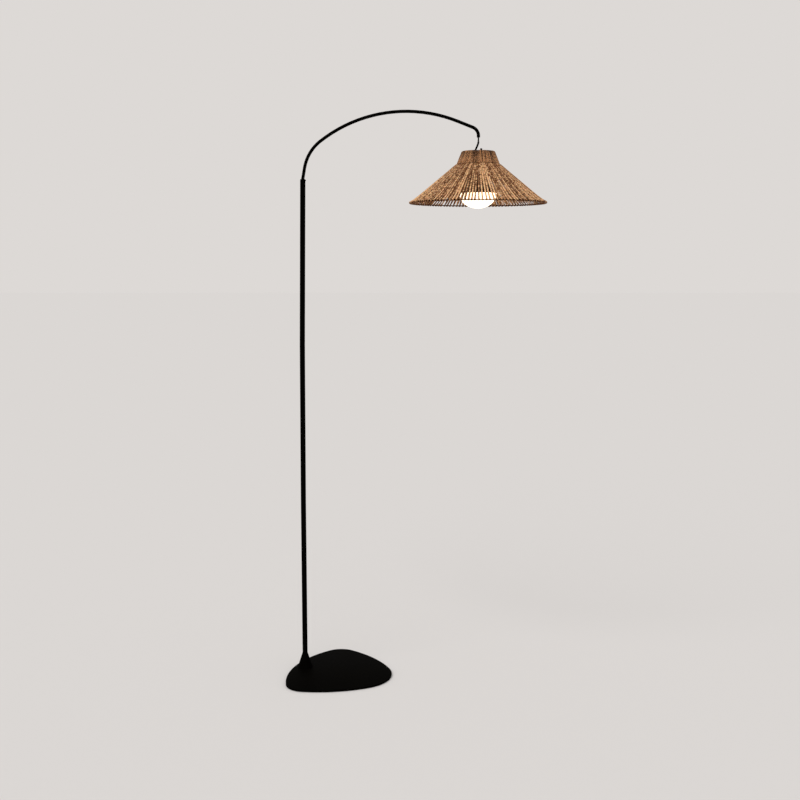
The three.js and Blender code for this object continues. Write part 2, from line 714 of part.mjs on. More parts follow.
// Windings: cane laid side by side over two rings, outside and back up inside.
// The outer layer shows every turn, and the rings and ribs lie between the two layers.
function winding(low, high, round, cane, turns, segments) {
  const slope = Math.atan2(high.z - low.z, low.r - high.r);
  const outward = Math.PI / 2 - slope; // direction square to the outer layer
  const inward = outward + Math.PI;
  const on = (ring, angle, radius) => [
    ring.r + radius * Math.cos(angle),
    ring.z + radius * Math.sin(angle),
  ];
  const under = -Math.PI / 2 + rad(ROUND_START_DEG);
  const within = -Math.PI / 2 - rad(ROUND_START_DEG);
  const over = Math.PI / 2 + rad(ROUND_START_DEG);
  const bottomZ = low.z + round * Math.sin(under);
  const topZ = high.z + round;
  const outline = [
    [0, bottomZ],
    on(low, under, round),
    on(low, (under + outward) / 2, round),
    on(low, outward, round),
    on(high, outward, round),
    [high.r, topZ],
    [0, topZ],
  ];
  // Every second line of the turned outline is drawn in, which leaves one ridge for each turn
  const fluted = turned(outline, 2 * turns);
  const position = fluted.attributes.position;
  const relief = cane * CANE_RELIEF_SHARE;
  const count = outline.length;
  const flat = 2; // points at each end of the outline that stay round
  for (let i = 0; i < position.count; i++) {
    const onRidge = Math.floor(i / count) % 2 === 0;
    const j = i % count;
    if (onRidge || j < flat || j >= count - flat) continue;
    const x = position.getX(i);
    const y = position.getY(i);
    const r = Math.hypot(x, y);
    const share = (r - relief * Math.cos(outward)) / r;
    position.setXYZ(i, x * share, y * share, position.getZ(i) - relief * Math.sin(outward));
  }
  const bore = turned(
    [
      [0, bottomZ - OVERRUN],
      [low.r - round * Math.cos(under), bottomZ - OVERRUN],
      on(low, within, round),
      on(low, inward, round),
      on(high, inward, round),
      on(high, (inward + over) / 2, round),
      [high.r + round * Math.cos(over), topZ],
      [high.r + round * Math.cos(over), topZ + OVERRUN],
      [0, topZ + OVERRUN],
    ],
    segments,
  );
  const room = WIRE_RADIUS + FIT;
  const corner = Math.hypot(room, room);
  const cavity = turnedRing(
    [
      on(low, -slope - Math.PI / 4, corner),
      on(low, -slope + Math.PI / 4, corner),
      on(high, outward + Math.PI / 4, corner),
      on(high, inward - Math.PI / 4, corner),
    ],
    segments,
  );
  const across = round * Math.sin(outward) + OVERRUN;
  const slitTop = high.z - round;
  const slitR = high.r + (high.z - slitTop) / Math.tan(slope);
  const slit = turnedRing(
    [
      [slitR - across, slitTop - SLIT],
      [slitR, slitTop - SLIT],
      [slitR, slitTop],
      [slitR - across, slitTop],
    ],
    segments,
  );
  return { blank: fluted, tools: [bore, cavity, slit] };
}

// Slots through both layers, each standing for the gaps of a few turns that fan out toward the rim
function gapSlots(low, high, round, turns, ribs) {
  const slope = Math.atan2(high.z - low.z, low.r - high.r);
  const length = Math.hypot(high.z - low.z, low.r - high.r);
  const count = ribs.length * SLOTS_PER_SECTOR;
  const gapAt = (up) => {
    const around = 2 * Math.PI * (low.r - up * Math.cos(slope));
    const open = 1 - (turns * CANE_LAID) / around;
    return (around / count) * open ** 2;
  };
  const from = round + SLOT_FROM_RIM;
  const to = length * SLOT_END_SHARE;
  const shape = new THREE.Shape([
    new THREE.Vector2(-gapAt(from) / 2, from),
    new THREE.Vector2(gapAt(from) / 2, from),
    new THREE.Vector2(gapAt(to) / 2, to),
    new THREE.Vector2(-gapAt(to) / 2, to),
  ]);
  const reach = round + OVERRUN;
  const blade = new THREE.ExtrudeGeometry(shape, { depth: 2 * reach, bevelEnabled: false });
  const upSlope = new THREE.Vector3(-Math.cos(slope), 0, Math.sin(slope));
  const square = new THREE.Vector3(Math.sin(slope), 0, Math.cos(slope));
  const across = upSlope.clone().cross(square);
  blade.translate(0, 0, -reach);
  blade.applyMatrix4(new THREE.Matrix4().makeBasis(across, upSlope, square));
  blade.translate(low.r, 0, low.z);
  const slots = [];
  for (let i = 0; i < count; i++) {
    slots.push(blade.clone().rotateZ(ribs[0] + (2 * Math.PI * (i + 0.5)) / count));
  }
  return slots;
}
const notch = WIRE_RADIUS + FIT;
const tieNotches = ribAngles.map((a) => {
  return rod(onShade(skirtRing, a), onShade(neckRing, a), notch, WIRE_SIDES);
});
const skirt = winding(
  bottomRing, skirtRing, skirtRound, SKIRT_CANE, SKIRT_TURNS, RING_SEGMENTS,
);
const skirtSlots = gapSlots(bottomRing, skirtRing, skirtRound, SKIRT_TURNS, ribAngles);
const skirtTools = [...skirt.tools, ...tieNotches, ...skirtSlots];
piece("skirt_winding", cut(skirt.blank, skirtTools), CANE, shade);
const neck = winding(
  neckRing, topRing, neckRound, NECK_CANE, NECK_TURNS, NECK_RING_SEGMENTS,
);
const armNotches = ribAngles.map((a) => spiderArm(a, notch, 0));
const neckTools = [...neck.tools, ...tieNotches, ...armNotches];
piece("neck_winding", cut(neck.blank, neckTools), NECK_CANE_FINISH, shade);

// Cord grip and cap screw, which fix the lampholder's cap under the hub
const capHigh = hubLow - FIT;
const capLow = capHigh - CAP_HEIGHT;
const capInside = capHigh - CAP_TOP;
const cordHole = CORD_RADIUS + FIT;
const gripProfile = [
  [cordHole, hubHigh - GRIP_LENGTH],
  [GRIP_RADIUS, hubHigh - GRIP_LENGTH],
  [GRIP_RADIUS, hubHigh],
  [GRIP_FLANGE, hubHigh],
  [GRIP_FLANGE, hubHigh + GRIP_FLANGE_THICKNESS],
  [cordHole, hubHigh + GRIP_FLANGE_THICKNESS],
];
const grip = turnedRing(gripProfile, SMALL_SIDES);
piece("cord_grip", grip, DARK_PLASTIC, shade).position.x = -FIXING_OFFSET;
const screwEnd = capInside - NUT_THICKNESS - 2 * FIT;
const capScrew = turned(
  [
    [0, screwEnd],
    [CAP_SCREW_RADIUS, screwEnd],
    [CAP_SCREW_RADIUS, hubHigh],
    [CAP_SCREW_HEAD_RADIUS, hubHigh],
    [CAP_SCREW_HEAD_RADIUS, hubHigh + CAP_SCREW_HEAD],
    [0, hubHigh + CAP_SCREW_HEAD],
  ],
  SMALL_SIDES,
);
piece("cap_screw", capScrew, BLACK_STEEL, shade).position.x = FIXING_OFFSET;
const nutTop = capInside - FIT;
const nut = cut(disc(NUT_RADIUS, nutTop - NUT_THICKNESS, nutTop, NUT_SIDES), [
  disc(capScrewHole, nutTop - NUT_THICKNESS - OVERRUN, nutTop + OVERRUN, SMALL_SIDES),
]);
piece("cap_nut", nut, ZINC, shade).position.x = FIXING_OFFSET;

// Lampholder
const holderBore = HOLDER_RADIUS - HOLDER_WALL;
const capBlank = turned(
  [
    [0, capInside],
    [holderBore, capInside],
    [holderBore, capLow],
    [HOLDER_RADIUS, capLow],
    [HOLDER_RADIUS, capHigh],
    [0, capHigh],
  ],
  HOLDER_SEGMENTS,
);
const holderCap = cut(capBlank, fixingHoles(capInside - OVERRUN, capHigh + OVERRUN));
piece("lampholder_cap", holderCap, DARK_PLASTIC, shade);

// Hanging cord: from the link's ball over to the grip, and through it into the lampholder
const cordTop = group(link, 0, 0, -LINK_LENGTH);
const cordTopHeight = SHADE_DROP + MOUTH_DEPTH - LINK_LENGTH; // over the shade's origin
const cordDown = hubHigh - cordTopHeight;
const cordEnd = capInside - CORD_TAIL - cordTopHeight;
const cordPlaces = CORD_SHARES.map(([across, down]) => [-across * FIXING_OFFSET, down * cordDown]);
cordPlaces.push([-FIXING_OFFSET, (cordDown + cordEnd) / 2], [-FIXING_OFFSET, cordEnd]);
const cordCurve = new THREE.CatmullRomCurve3(
  cordPlaces.map(([x, z]) => new THREE.Vector3(x, 0, z)),
);
const cordRun = new THREE.ExtrudeGeometry(circleShape(CORD_RADIUS, CORD_SIDES), {
  steps: CORD_STEPS,
  extrudePath: cordCurve,
  bevelEnabled: false,
});
const cordBall = new THREE.SphereGeometry(CORD_RADIUS, CORD_SIDES, CORD_SIDES / 2);
piece("hanging_cord", join([cordRun, cordBall]), CORD_BLACK, cordTop);

const holderHigh = capLow - FIT;
const holderLow = holderHigh - HOLDER_HEIGHT;
const holderBody = sleeve(HOLDER_RADIUS, holderBore, holderLow, holderHigh, HOLDER_SEGMENTS);
piece("lampholder_body", holderBody, DARK_PLASTIC, shade);

// Bulb heights follow from the lampholder's contact
const tipTop = capLow - FIT;
const globeLow = tipTop - BULB_LENGTH;
const globeMiddle = globeLow + GLOBE_DEPTH;
const screwCapHigh = tipTop - TIP_CONTACT_HEIGHT;
const screwCapLow = screwCapHigh - SCREW_CAP_LENGTH;
const contactLow = tipTop + FIT;
const contactHigh = contactLow + CONTACT_THICKNESS;
const contact = disc(CONTACT_RADIUS, contactLow, contactHigh, SMALL_SIDES);
piece("centre_contact", contact, BRASS, shade);
const insertLow = contactHigh + FIT;
const insert = disc(holderBore - FIT, insertLow, insertLow + INSERT_THICKNESS, HOLDER_SEGMENTS);
piece("lampholder_insert", insert, WHITE_PLASTIC, shade);
const shellHigh = insertLow - FIT;
const shellInner = SHELL_RADIUS - SHELL_WALL;
const shellLow = shellHigh - SHELL_LENGTH;
const shell = sleeve(SHELL_RADIUS, shellInner, shellLow, shellHigh, HOLDER_SEGMENTS);
piece("screw_shell", shell, BRASS, shade);

// Bulb
const capBore = SCREW_CAP_RADIUS - SCREW_CAP_WALL;
const screwCap = turned(
  [
    [0, screwCapHigh - SCREW_CAP_WALL],
    [capBore, screwCapHigh - SCREW_CAP_WALL],
    [capBore, screwCapLow],
    [SCREW_CAP_RADIUS, screwCapLow],
    [SCREW_CAP_RADIUS, screwCapHigh],
    [TIP_CONTACT_RADIUS, tipTop],
    [0, tipTop],
  ],
  HOLDER_SEGMENTS,
);
piece("bulb_cap", screwCap, ZINC, shade);
const housingLow = globeMiddle;
const housingHigh = screwCapLow - FIT;
const housingHeight = housingHigh - housingLow;
const housingOuter = [
  [GLOBE_RADIUS, housingLow],
  [GLOBE_RADIUS, housingLow + BOARD_THICKNESS + FIT],
  ...HOUSING_SHARES.map(([up, inward]) => [
    GLOBE_RADIUS + (BULB_NECK_RADIUS - GLOBE_RADIUS) * inward,
    housingLow + up * housingHeight,
  ]),
  [BULB_NECK_RADIUS, housingHigh],
];
const housingInner = housingOuter.map(([r, z]) => [r - HOUSING_WALL, z]).reverse();
const housing = turnedRing([...housingOuter, ...housingInner], GLOBE_SEGMENTS);
piece("bulb_housing", housing, DARK_PLASTIC, shade);
const globeProfile = [];
const globeInner = GLOBE_RADIUS - GLOBE_WALL;
const globeInnerDepth = GLOBE_DEPTH - GLOBE_WALL;
for (let i = 0; i <= GLOBE_STEPS; i++) {
  const a = (Math.PI / 2) * (i / GLOBE_STEPS);
  const r = i ? GLOBE_RADIUS * Math.sin(a) : 0;
  globeProfile.push([r, -GLOBE_DEPTH * Math.cos(a)]);
}
for (let i = GLOBE_STEPS; i >= 0; i--) {
  const a = (Math.PI / 2) * (i / GLOBE_STEPS);
  const r = i ? globeInner * Math.sin(a) : 0;
  globeProfile.push([r, -globeInnerDepth * Math.cos(a)]);
}
const globe = turned(globeProfile, GLOBE_SEGMENTS);
piece("bulb_globe", globe, OPAL, shade).position.z = globeMiddle - FIT;
const boardRadius = Math.min(GLOBE_RADIUS - HOUSING_WALL, globeInner) - BOARD_INSET;
const board = disc(boardRadius, globeMiddle, globeMiddle + BOARD_THICKNESS, GLOBE_SEGMENTS);
piece("led_board", board, WHITE_PLASTIC, shade);

export default lamp;
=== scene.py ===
# A floor lamp with a cane-wound shade that hangs from a bent arm, in metres with +Z up.
import json
import math
import random

import bmesh
import bpy
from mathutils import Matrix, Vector


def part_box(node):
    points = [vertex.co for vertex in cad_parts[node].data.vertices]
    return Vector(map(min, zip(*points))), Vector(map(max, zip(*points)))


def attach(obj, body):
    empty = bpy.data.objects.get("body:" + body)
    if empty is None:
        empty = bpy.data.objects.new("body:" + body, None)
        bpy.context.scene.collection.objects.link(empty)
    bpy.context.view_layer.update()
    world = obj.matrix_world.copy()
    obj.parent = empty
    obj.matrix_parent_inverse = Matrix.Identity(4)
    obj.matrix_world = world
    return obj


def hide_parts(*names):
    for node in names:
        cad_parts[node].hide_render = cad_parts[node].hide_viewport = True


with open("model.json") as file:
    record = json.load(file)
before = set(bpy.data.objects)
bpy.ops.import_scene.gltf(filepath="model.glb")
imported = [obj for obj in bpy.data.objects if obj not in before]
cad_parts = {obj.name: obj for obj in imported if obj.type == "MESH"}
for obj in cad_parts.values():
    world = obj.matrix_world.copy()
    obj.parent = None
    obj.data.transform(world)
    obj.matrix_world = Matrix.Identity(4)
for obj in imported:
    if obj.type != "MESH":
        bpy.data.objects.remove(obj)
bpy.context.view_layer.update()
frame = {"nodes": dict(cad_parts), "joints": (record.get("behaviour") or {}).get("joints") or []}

# Camera
# It stands well back, level with the upper third of the pole, and looks a little down,
# so that the plate shows as a flat oval and the shade's rim as a thin one.
FRAME_PIXELS = 800
FOCAL_PIXELS = 1110
SENSOR_MM = 36
CAMERA_PLACE = (0.31965, -3.6006, 1.37706)
CAMERA_TILT_DEG = 82.669
camera_data = bpy.data.cameras.new("camera")
camera_data.sensor_width = SENSOR_MM
camera_data.lens = SENSOR_MM * FOCAL_PIXELS / FRAME_PIXELS
camera = bpy.data.objects.new("camera", camera_data)
camera.location = CAMERA_PLACE
camera.rotation_euler = (math.radians(CAMERA_TILT_DEG), 0, 0)
bpy.context.scene.collection.objects.link(camera)
bpy.context.scene.camera = camera
bpy.context.scene.view_settings.view_transform = "Standard"


# Floor and studio light
# A wide pale floor runs to a backdrop of the same colour. One soft lamp high on the left
# and an even pale room light the object at a plain level.
class Field:
    """A value that varies over a surface: a shader socket used like a number."""

    def __init__(self, tree, socket=None):
        self.tree = tree
        self.socket = socket

    def node(self, kind, settings=None, inputs=None, output=0):
        """The output of a new node, made with these settings and socket values or links."""
        made = self.tree.nodes.new("ShaderNode" + kind)
        for name, value in (settings or {}).items():
            setattr(made, name, value)
        for name, value in (inputs or {}).items():
            if isinstance(value, Field):
                self.tree.links.new(value.socket, made.inputs[name])
            else:
                made.inputs[name].default_value = value
        return Field(self.tree, made.outputs[output]) if made.outputs else None

    def maths(self, operation, first, second=0.0):
        return self.node("Math", {"operation": operation}, {0: first, 1: second})

    def blend(self, first, second):
        """This value as the share between two colours, which are a Mix node's inputs 6 and 7."""
        inputs = {0: self, 6: first, 7: second}
        return self.node("Mix", {"data_type": "RGBA"}, inputs, output=2)

    def span(self, low, high):
        """A number that runs from low to high as this value runs from 0 to 1."""
        return self * (high - low) + low

    def __add__(self, other):
        return self.maths("ADD", self, other)

    def __sub__(self, other):
        return self.maths("SUBTRACT", self, other)

    def __rsub__(self, other):
        return self.maths("SUBTRACT", other, self)

    def __mul__(self, other):
        return self.maths("MULTIPLY", self, other)

    def __pow__(self, other):
        return self.maths("POWER", self, other)

    __radd__ = __add__
    __rmul__ = __mul__


def new_finish(name):
    """An empty material, and a field to start its nodes from."""
    material = bpy.data.materials.new(name)
    material.use_nodes = True
    material.node_tree.nodes.clear()
    return material, Field(material.node_tree)


BACKDROP_COLOUR = (0.723, 0.694, 0.672, 1)
FLOOR_COLOUR = (0.74, 0.71, 0.688, 1)
FLOOR_HALF = 40
ROOM_COLOUR = (1, 1, 1, 1)
ROOM_LEVEL = 0.6
KEY_LEVEL = 1.6
KEY_SOFTNESS_DEG = 50
KEY_TURN_DEG = (38, -27, 0)

floor_finish, start = new_finish("pale_floor")
floor_shader = start.node("BsdfDiffuse", {}, {"Color": FLOOR_COLOUR})
start.node("OutputMaterial", {}, {"Surface": floor_shader})
floor_mesh = bpy.data.meshes.new("floor")
floor_corners = [
    (-FLOOR_HALF, -FLOOR_HALF, 0),
    (FLOOR_HALF, -FLOOR_HALF, 0),
    (FLOOR_HALF, FLOOR_HALF, 0),
    (-FLOOR_HALF, FLOOR_HALF, 0),
]
floor_mesh.from_pydata(floor_corners, [], [(0, 1, 2, 3)])
floor_mesh.materials.append(floor_finish)
floor = bpy.data.objects.new("floor", floor_mesh)
bpy.context.scene.collection.objects.link(floor)

room = bpy.data.worlds.new("room")
room.use_nodes = True
room.node_tree.nodes.clear()
bpy.context.scene.world = room
start = Field(room.node_tree)
looked_at = start.node("LightPath", output="Is Camera Ray")
mirrored = start.node("LightPath", output="Is Glossy Ray")
seen_through = start.node("LightPath", output="Is Transmission Ray")
backdrop = start.node("Background", {}, {"Color": BACKDROP_COLOUR, "Strength": 1.0})
room_light = start.node("Background", {}, {"Color": ROOM_COLOUR, "Strength": ROOM_LEVEL})
shown = looked_at + mirrored + seen_through
surroundings = start.node("MixShader", {}, {0: shown, 1: room_light, 2: backdrop})
start.node("OutputWorld", {}, {"Surface": surroundings})

key_data = bpy.data.lights.new("key", "SUN")
key_data.energy = KEY_LEVEL
key_data.angle = math.radians(KEY_SOFTNESS_DEG)
key = bpy.data.objects.new("key", key_data)
key.rotation_euler = [math.radians(turn) for turn in KEY_TURN_DEG]
bpy.context.scene.collection.objects.link(key)


# Base plate
# Steel plate cut to a rounded triangle of six arcs, its edges broken and both faces
# powder-coated black. A thin foam pad is glued under it.
def noise(start, scale, detail):
    """Noise through the object's own space, with this many cells to a metre."""
    place = start.node("TexCoord", output="Object")
    return start.node("TexNoise", {}, {"Vector": place, "Scale": scale, "Detail": detail})


def surface(start, inputs):
    """Ends a finish in one shader with these socket values and links."""
    shader = start.node("BsdfPrincipled", {}, inputs)
    start.node("OutputMaterial", {}, {"Surface": shader})


COAT_COLOUR = (0.0006, 0.0005, 0.0003, 1)
COAT_WORN_COLOUR = (0.0024, 0.0021, 0.0015, 1)
COAT_GRAINS = 1100
COAT_CLOUDS = 7
COAT_ROUGHNESS = (0.5, 0.64)
COAT_GRAIN_ROUGHNESS = 0.1
COAT_GRAIN_DEPTH = 0.00012
COAT_SHINE = 0.005
black_coat, start = new_finish("black_powder_coat")
grain = noise(start, COAT_GRAINS, detail=1.0)
cloud = noise(start, COAT_CLOUDS, detail=4.0)
coat_relief = start.node("Bump", {}, {"Height": grain, "Strength": 0.6, "Distance": COAT_GRAIN_DEPTH})
surface(start, {
    "Base Color": (cloud ** 2.0).blend(COAT_COLOUR, COAT_WORN_COLOUR),
    "Roughness": cloud.span(*COAT_ROUGHNESS) + grain * COAT_GRAIN_ROUGHNESS,
    "Specular IOR Level": COAT_SHINE,
    "Normal": coat_relief,
})

FOAM_COLOUR = (0.011, 0.0105, 0.01, 1)
FOAM_CELL_COLOUR = (0.004, 0.004, 0.004, 1)
FOAM_CELLS = 1400
FOAM_CELL_DEPTH = 0.0003
FOAM_ROUGHNESS = 0.95
foam, start = new_finish("black_foam")
place = start.node("TexCoord", output="Object")
cells = start.node("TexVoronoi", {}, {"Vector": place, "Scale": FOAM_CELLS}, "Distance")
foam_relief = start.node("Bump", {}, {"Height": cells, "Strength": 0.8, "Distance": FOAM_CELL_DEPTH})
surface(start, {
    "Base Color": cells.blend(FOAM_CELL_COLOUR, FOAM_COLOUR),
    "Roughness": FOAM_ROUGHNESS,
    "Normal": foam_relief,
})


def loft(rings, joined=False):
    """A skin over rings of points, with its ends capped or joined to each other."""
    count = len(rings[0])
    points = [point for ring in rings for point in ring]
    faces = []
    for i in range(len(rings) if joined else len(rings) - 1):
        near = i * count
        far = (i + 1) % len(rings) * count
        for j in range(count):
            k = (j + 1) % count
            faces.append((near + j, near + k, far + k, far + j))
    if not joined:
        last = (len(rings) - 1) * count
        faces.append(tuple(range(count))[::-1])
        faces.append(tuple(range(last, last + count)))
    return points, faces


def add_piece(name, mesh, finish, slot, body, *nodes):
    """Puts a mesh in the scene as a piece that rides on a body and stands for CAD nodes."""
    mesh.materials.append(finish)
    piece = bpy.data.objects.new(name, mesh)
    bpy.context.scene.collection.objects.link(piece)
    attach(piece, body)
    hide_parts(*nodes)


SAME_POINT = 1e-7
SHARP_DEG = 32


def make_piece(name, skins, finish, slot, body, *nodes):
    """Makes one piece of one or more skins, smooth but for its sharp edges."""
    points, faces = [], []
    for skin_points, skin_faces in skins:
        first = len(points)
        points += skin_points
        faces += [tuple(first + i for i in face) for face in skin_faces]
    mesh = bpy.data.meshes.new(name)
    mesh.from_pydata(points, [], faces)
    work = bmesh.new()
    work.from_mesh(mesh)
    bmesh.ops.remove_doubles(work, verts=work.verts, dist=SAME_POINT)
    bmesh.ops.recalc_face_normals(work, faces=work.faces)
    work.to_mesh(mesh)
    work.free()
    mesh.shade_smooth()
    mesh.set_sharp_from_angle(angle=math.radians(SHARP_DEG))
    add_piece(name, mesh, finish, slot, body, *nodes)


def dress(finish, *nodes):
    """Gives CAD nodes that stay in sight their finish."""
    for node in nodes:
        for slot in frame["nodes"][node].material_slots:
            slot.material = finish


def heights(node):
    """The lowest and the highest point of a CAD node."""
    low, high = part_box(node)
    return low.z, high.z


def quarter_turn(steps):
    """Angles from 0 to a right angle in equal steps."""
    return [math.pi / 2 * i / steps for i in range(steps + 1)]


BASE_TURN_DEG = -22
BASE_SIDE_OFFSET = 0.006
BASE_REAR = 0.0345
BASE_NOSE = 0.303
BASE_WIDTH = 0.396
BASE_WIDEST_AT = 0.0665
REAR_CORNER_RADIUS = 0.065
NOSE_RADIUS = 0.125
SIDE_RADIUS = 0.385
PLATE_EDGE = 0.0011
EDGE_STEPS = 4
ARC_STEP_DEG = 4


def plate_outline(inset):
    """Points of the plate's outline drawn in by inset: six arcs that run into each other."""
    rear = BASE_REAR - inset
    corner = REAR_CORNER_RADIUS - inset
    nose = NOSE_RADIUS - inset
    side = SIDE_RADIUS - inset
    corner_x = BASE_WIDEST_AT
    corner_y = BASE_WIDTH / 2 - REAR_CORNER_RADIUS
    nose_x = BASE_NOSE - NOSE_RADIUS
    reach = rear + corner_x
    rear_radius = (reach ** 2 + corner_y ** 2 - corner ** 2) / (2 * (reach - corner))
    rear_x = rear_radius - rear
    apart = math.hypot(nose_x - corner_x, corner_y)
    along = ((side - corner) ** 2 - (side - nose) ** 2 + apart ** 2) / (2 * apart)
    away = math.sqrt((side - corner) ** 2 - along ** 2)
    unit_x = (nose_x - corner_x) / apart
    unit_y = -corner_y / apart
    side_x = corner_x + unit_x * along + unit_y * away
    side_y = corner_y + unit_y * along - unit_x * away
    at_nose = math.atan2(-side_y, nose_x - side_x)
    at_corner = math.atan2(corner_y - side_y, corner_x - side_x)
    at_rear = math.atan2(corner_y, corner_x - rear_x)
    turn = 2 * math.pi
    arcs = [
        (nose_x, 0, nose, -at_nose, at_nose),
        (side_x, side_y, side, at_nose, at_corner),
        (corner_x, corner_y, corner, at_corner, at_rear),
        (rear_x, 0, rear_radius, at_rear, turn - at_rear),
        (corner_x, -corner_y, corner, turn - at_rear, turn - at_corner),
        (side_x, -side_y, side, turn - at_corner, turn - at_nose),
    ]
    outline = []
    for x, y, radius, first, last in arcs:
        steps = math.ceil(math.degrees(last - first) / ARC_STEP_DEG)
        for i in range(steps):
            angle = first + (last - first) * i / steps
            outline.append((x + radius * math.cos(angle), y + radius * math.sin(angle)))
    return outline


plate_low, plate_high = heights("base_plate")
base_cos = math.cos(math.radians(BASE_TURN_DEG))
base_sin = math.sin(math.radians(BASE_TURN_DEG))
edge_round = []
for angle in quarter_turn(EDGE_STEPS):
    edge_round.append((PLATE_EDGE * (1 - math.cos(angle)), PLATE_EDGE * (1 - math.sin(angle))))
plate_levels = [(inset, plate_low + depth) for inset, depth in edge_round[::-1]]
plate_levels += [(inset, plate_high - depth) for inset, depth in edge_round]
plate_rings = []
for inset, height in plate_levels:
    ring = []
    for x, y in plate_outline(inset):
        y += BASE_SIDE_OFFSET
        ring.append((x * base_cos - y * base_sin, x * base_sin + y * base_cos, height))
    plate_rings.append(ring)
make_piece("floor_plate", [loft(plate_rings)], black_coat, "black_steel", "stand", "base_plate")
dress(foam, "base_pad")

# Fixings under the plate
# Three zinc-plated countersunk screws and a threaded stud of the same steel hold the foot
# to the plate and the pole to the foot. Only the screws' heads show, before the pad goes on.
ZINC_COLOUR = (0.46, 0.48, 0.5, 1)
ZINC_TINT = (0.4, 0.41, 0.36, 1)
ZINC_SPANGLES = 260
ZINC_ROUGHNESS = (0.26, 0.46)
zinc, start = new_finish("zinc_plate")
spangle = noise(start, ZINC_SPANGLES, detail=3.0)
surface(start, {
    "Base Color": spangle.blend(ZINC_COLOUR, ZINC_TINT),
    "Metallic": 1.0,
    "Roughness": spangle.span(*ZINC_ROUGHNESS),
})
dress(zinc, "base_screw_1", "base_screw_2", "base_screw_3", "pole_stud")

# Foot
# A cast cone that seats on the plate and takes the pole's stud, powder-coated with the
# plate. Its lower edge is rounded and its top stands a little outside the pole.
FOOT_RADIUS = 0.0248
FOOT_EDGE = 0.0012
FOOT_LIP = 0.0005
FOOT_LIP_FLARE = FOOT_LIP / 4
FOOT_LIP_SHARE = 0.97
POLE_RADIUS = 0.0085
FINE_SIDES = 48
# The cone's wall, from its edge to its lip: share of its height, share of the way in
FLARE_SHARES = [(0.15, 0.145), (0.29, 0.29), (0.45, 0.455), (0.62, 0.63), (0.76, 0.775), (0.88, 0.9)]


def whole_turn(steps):
    """Angles once round in equal steps."""
    return [2 * math.pi * i / steps for i in range(steps)]


def turned(profile, origin, along=(0, 0, 1), sides=FINE_SIDES, joined=False):
    """A skin from (radius, height) pairs turned about an axis; a joined profile has a bore."""
    along = Vector(along).normalized()
    across = Vector((0, 1, 0)).cross(along)
    if not across.length:
        across = Vector((1, 0, 0))
    across.normalize()
    other = along.cross(across)
    rings = []
    for radius, height in profile:
        ring = []
        for angle in whole_turn(sides):
            outward = across * math.cos(angle) + other * math.sin(angle)
            ring.append(Vector(origin) + along * height + outward * radius)
        rings.append(ring)
    return loft(rings, joined)


foot_low, foot_high = heights("foot")
foot_height = foot_high - foot_low
foot_top_radius = POLE_RADIUS + FOOT_LIP
foot_profile = [(0, 0), (FOOT_RADIUS - FOOT_EDGE, 0), (FOOT_RADIUS, FOOT_EDGE)]
for up, inward in FLARE_SHARES:
    foot_profile.append((FOOT_RADIUS + (foot_top_radius - FOOT_RADIUS) * inward, foot_height * up))
foot_profile += [
    (foot_top_radius + FOOT_LIP_FLARE, foot_height * FOOT_LIP_SHARE),
    (foot_top_radius, foot_height - FOOT_LIP),
    (foot_top_radius - FOOT_LIP, foot_height),
    (0, foot_height),
]
foot_skin = turned(foot_profile, (0, 0, foot_low))
make_piece("foot_cone", [foot_skin], black_coat, "black_steel", "stand", "foot")

# Cable inlet
# A moulded grommet pressed into the back of the foot, with two soft ribs round its lip.
# It lines the hole through which the cable enters.
MOULDED_COLOUR = (0.0025, 0.0024, 0.0022, 1)
MOULDED_WORN_COLOUR = (0.007, 0.0066, 0.006, 1)
MOULDED_GRAINS = 2200
MOULDED_GRAIN_DEPTH = 0.00005
MOULDED_ROUGHNESS = (0.45, 0.6)
MOULDED_SHINE = 0.06
moulded, start = new_finish("black_moulding")
grain = noise(start, MOULDED_GRAINS, detail=2.0)
moulded_relief = start.node("Bump", {}, {
    "Height": grain, "Strength": 0.5, "Distance": MOULDED_GRAIN_DEPTH,
})
surface(start, {
    "Base Color": grain.blend(MOULDED_COLOUR, MOULDED_WORN_COLOUR),
    "Roughness": grain.span(*MOULDED_ROUGHNESS),
    "Specular IOR Level": MOULDED_SHINE,
    "Normal": moulded_relief,
})

GROMMET_BORE = 0.003
GROMMET_RADIUS = 0.0046
GROMMET_LIP = 0.0013
GROMMET_LIP_THICKNESS = 0.0018
GROMMET_LIP_EDGE = GROMMET_LIP / 3
GROMMET_GROOVE_DEPTH = GROMMET_LIP / 4
GROMMET_GROOVE_SHARE = 0.7
grommet_low, grommet_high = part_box("cable_grommet")
grommet_place = ((grommet_low.x + grommet_high.x) / 2, grommet_low.y, (grommet_low.z + grommet_high.z) / 2)
grommet_length = grommet_high.y - grommet_low.y
lip_start = grommet_length - GROMMET_LIP_THICKNESS
lip_radius = GROMMET_RADIUS + GROMMET_LIP
grommet_profile = [
    (GROMMET_BORE, 0),
    (GROMMET_RADIUS, 0),
    (GROMMET_RADIUS, lip_start),
    (lip_radius, lip_start),
    (lip_radius, grommet_length - GROMMET_LIP_EDGE),
    (lip_radius - GROMMET_LIP_EDGE, grommet_length),
    (GROMMET_BORE + GROMMET_LIP, grommet_length),
    (GROMMET_BORE + GROMMET_LIP * GROMMET_GROOVE_SHARE, grommet_length - GROMMET_GROOVE_DEPTH),
    (GROMMET_BORE + GROMMET_LIP_EDGE, grommet_length),
    (GROMMET_BORE, grommet_length - GROMMET_LIP_EDGE),
]
grommet_skin = turned(grommet_profile, grommet_place, (0, 1, 0), joined=True)
make_piece("inlet_grommet", [grommet_skin], moulded, "dark_plastic", "stand", "cable_grommet")

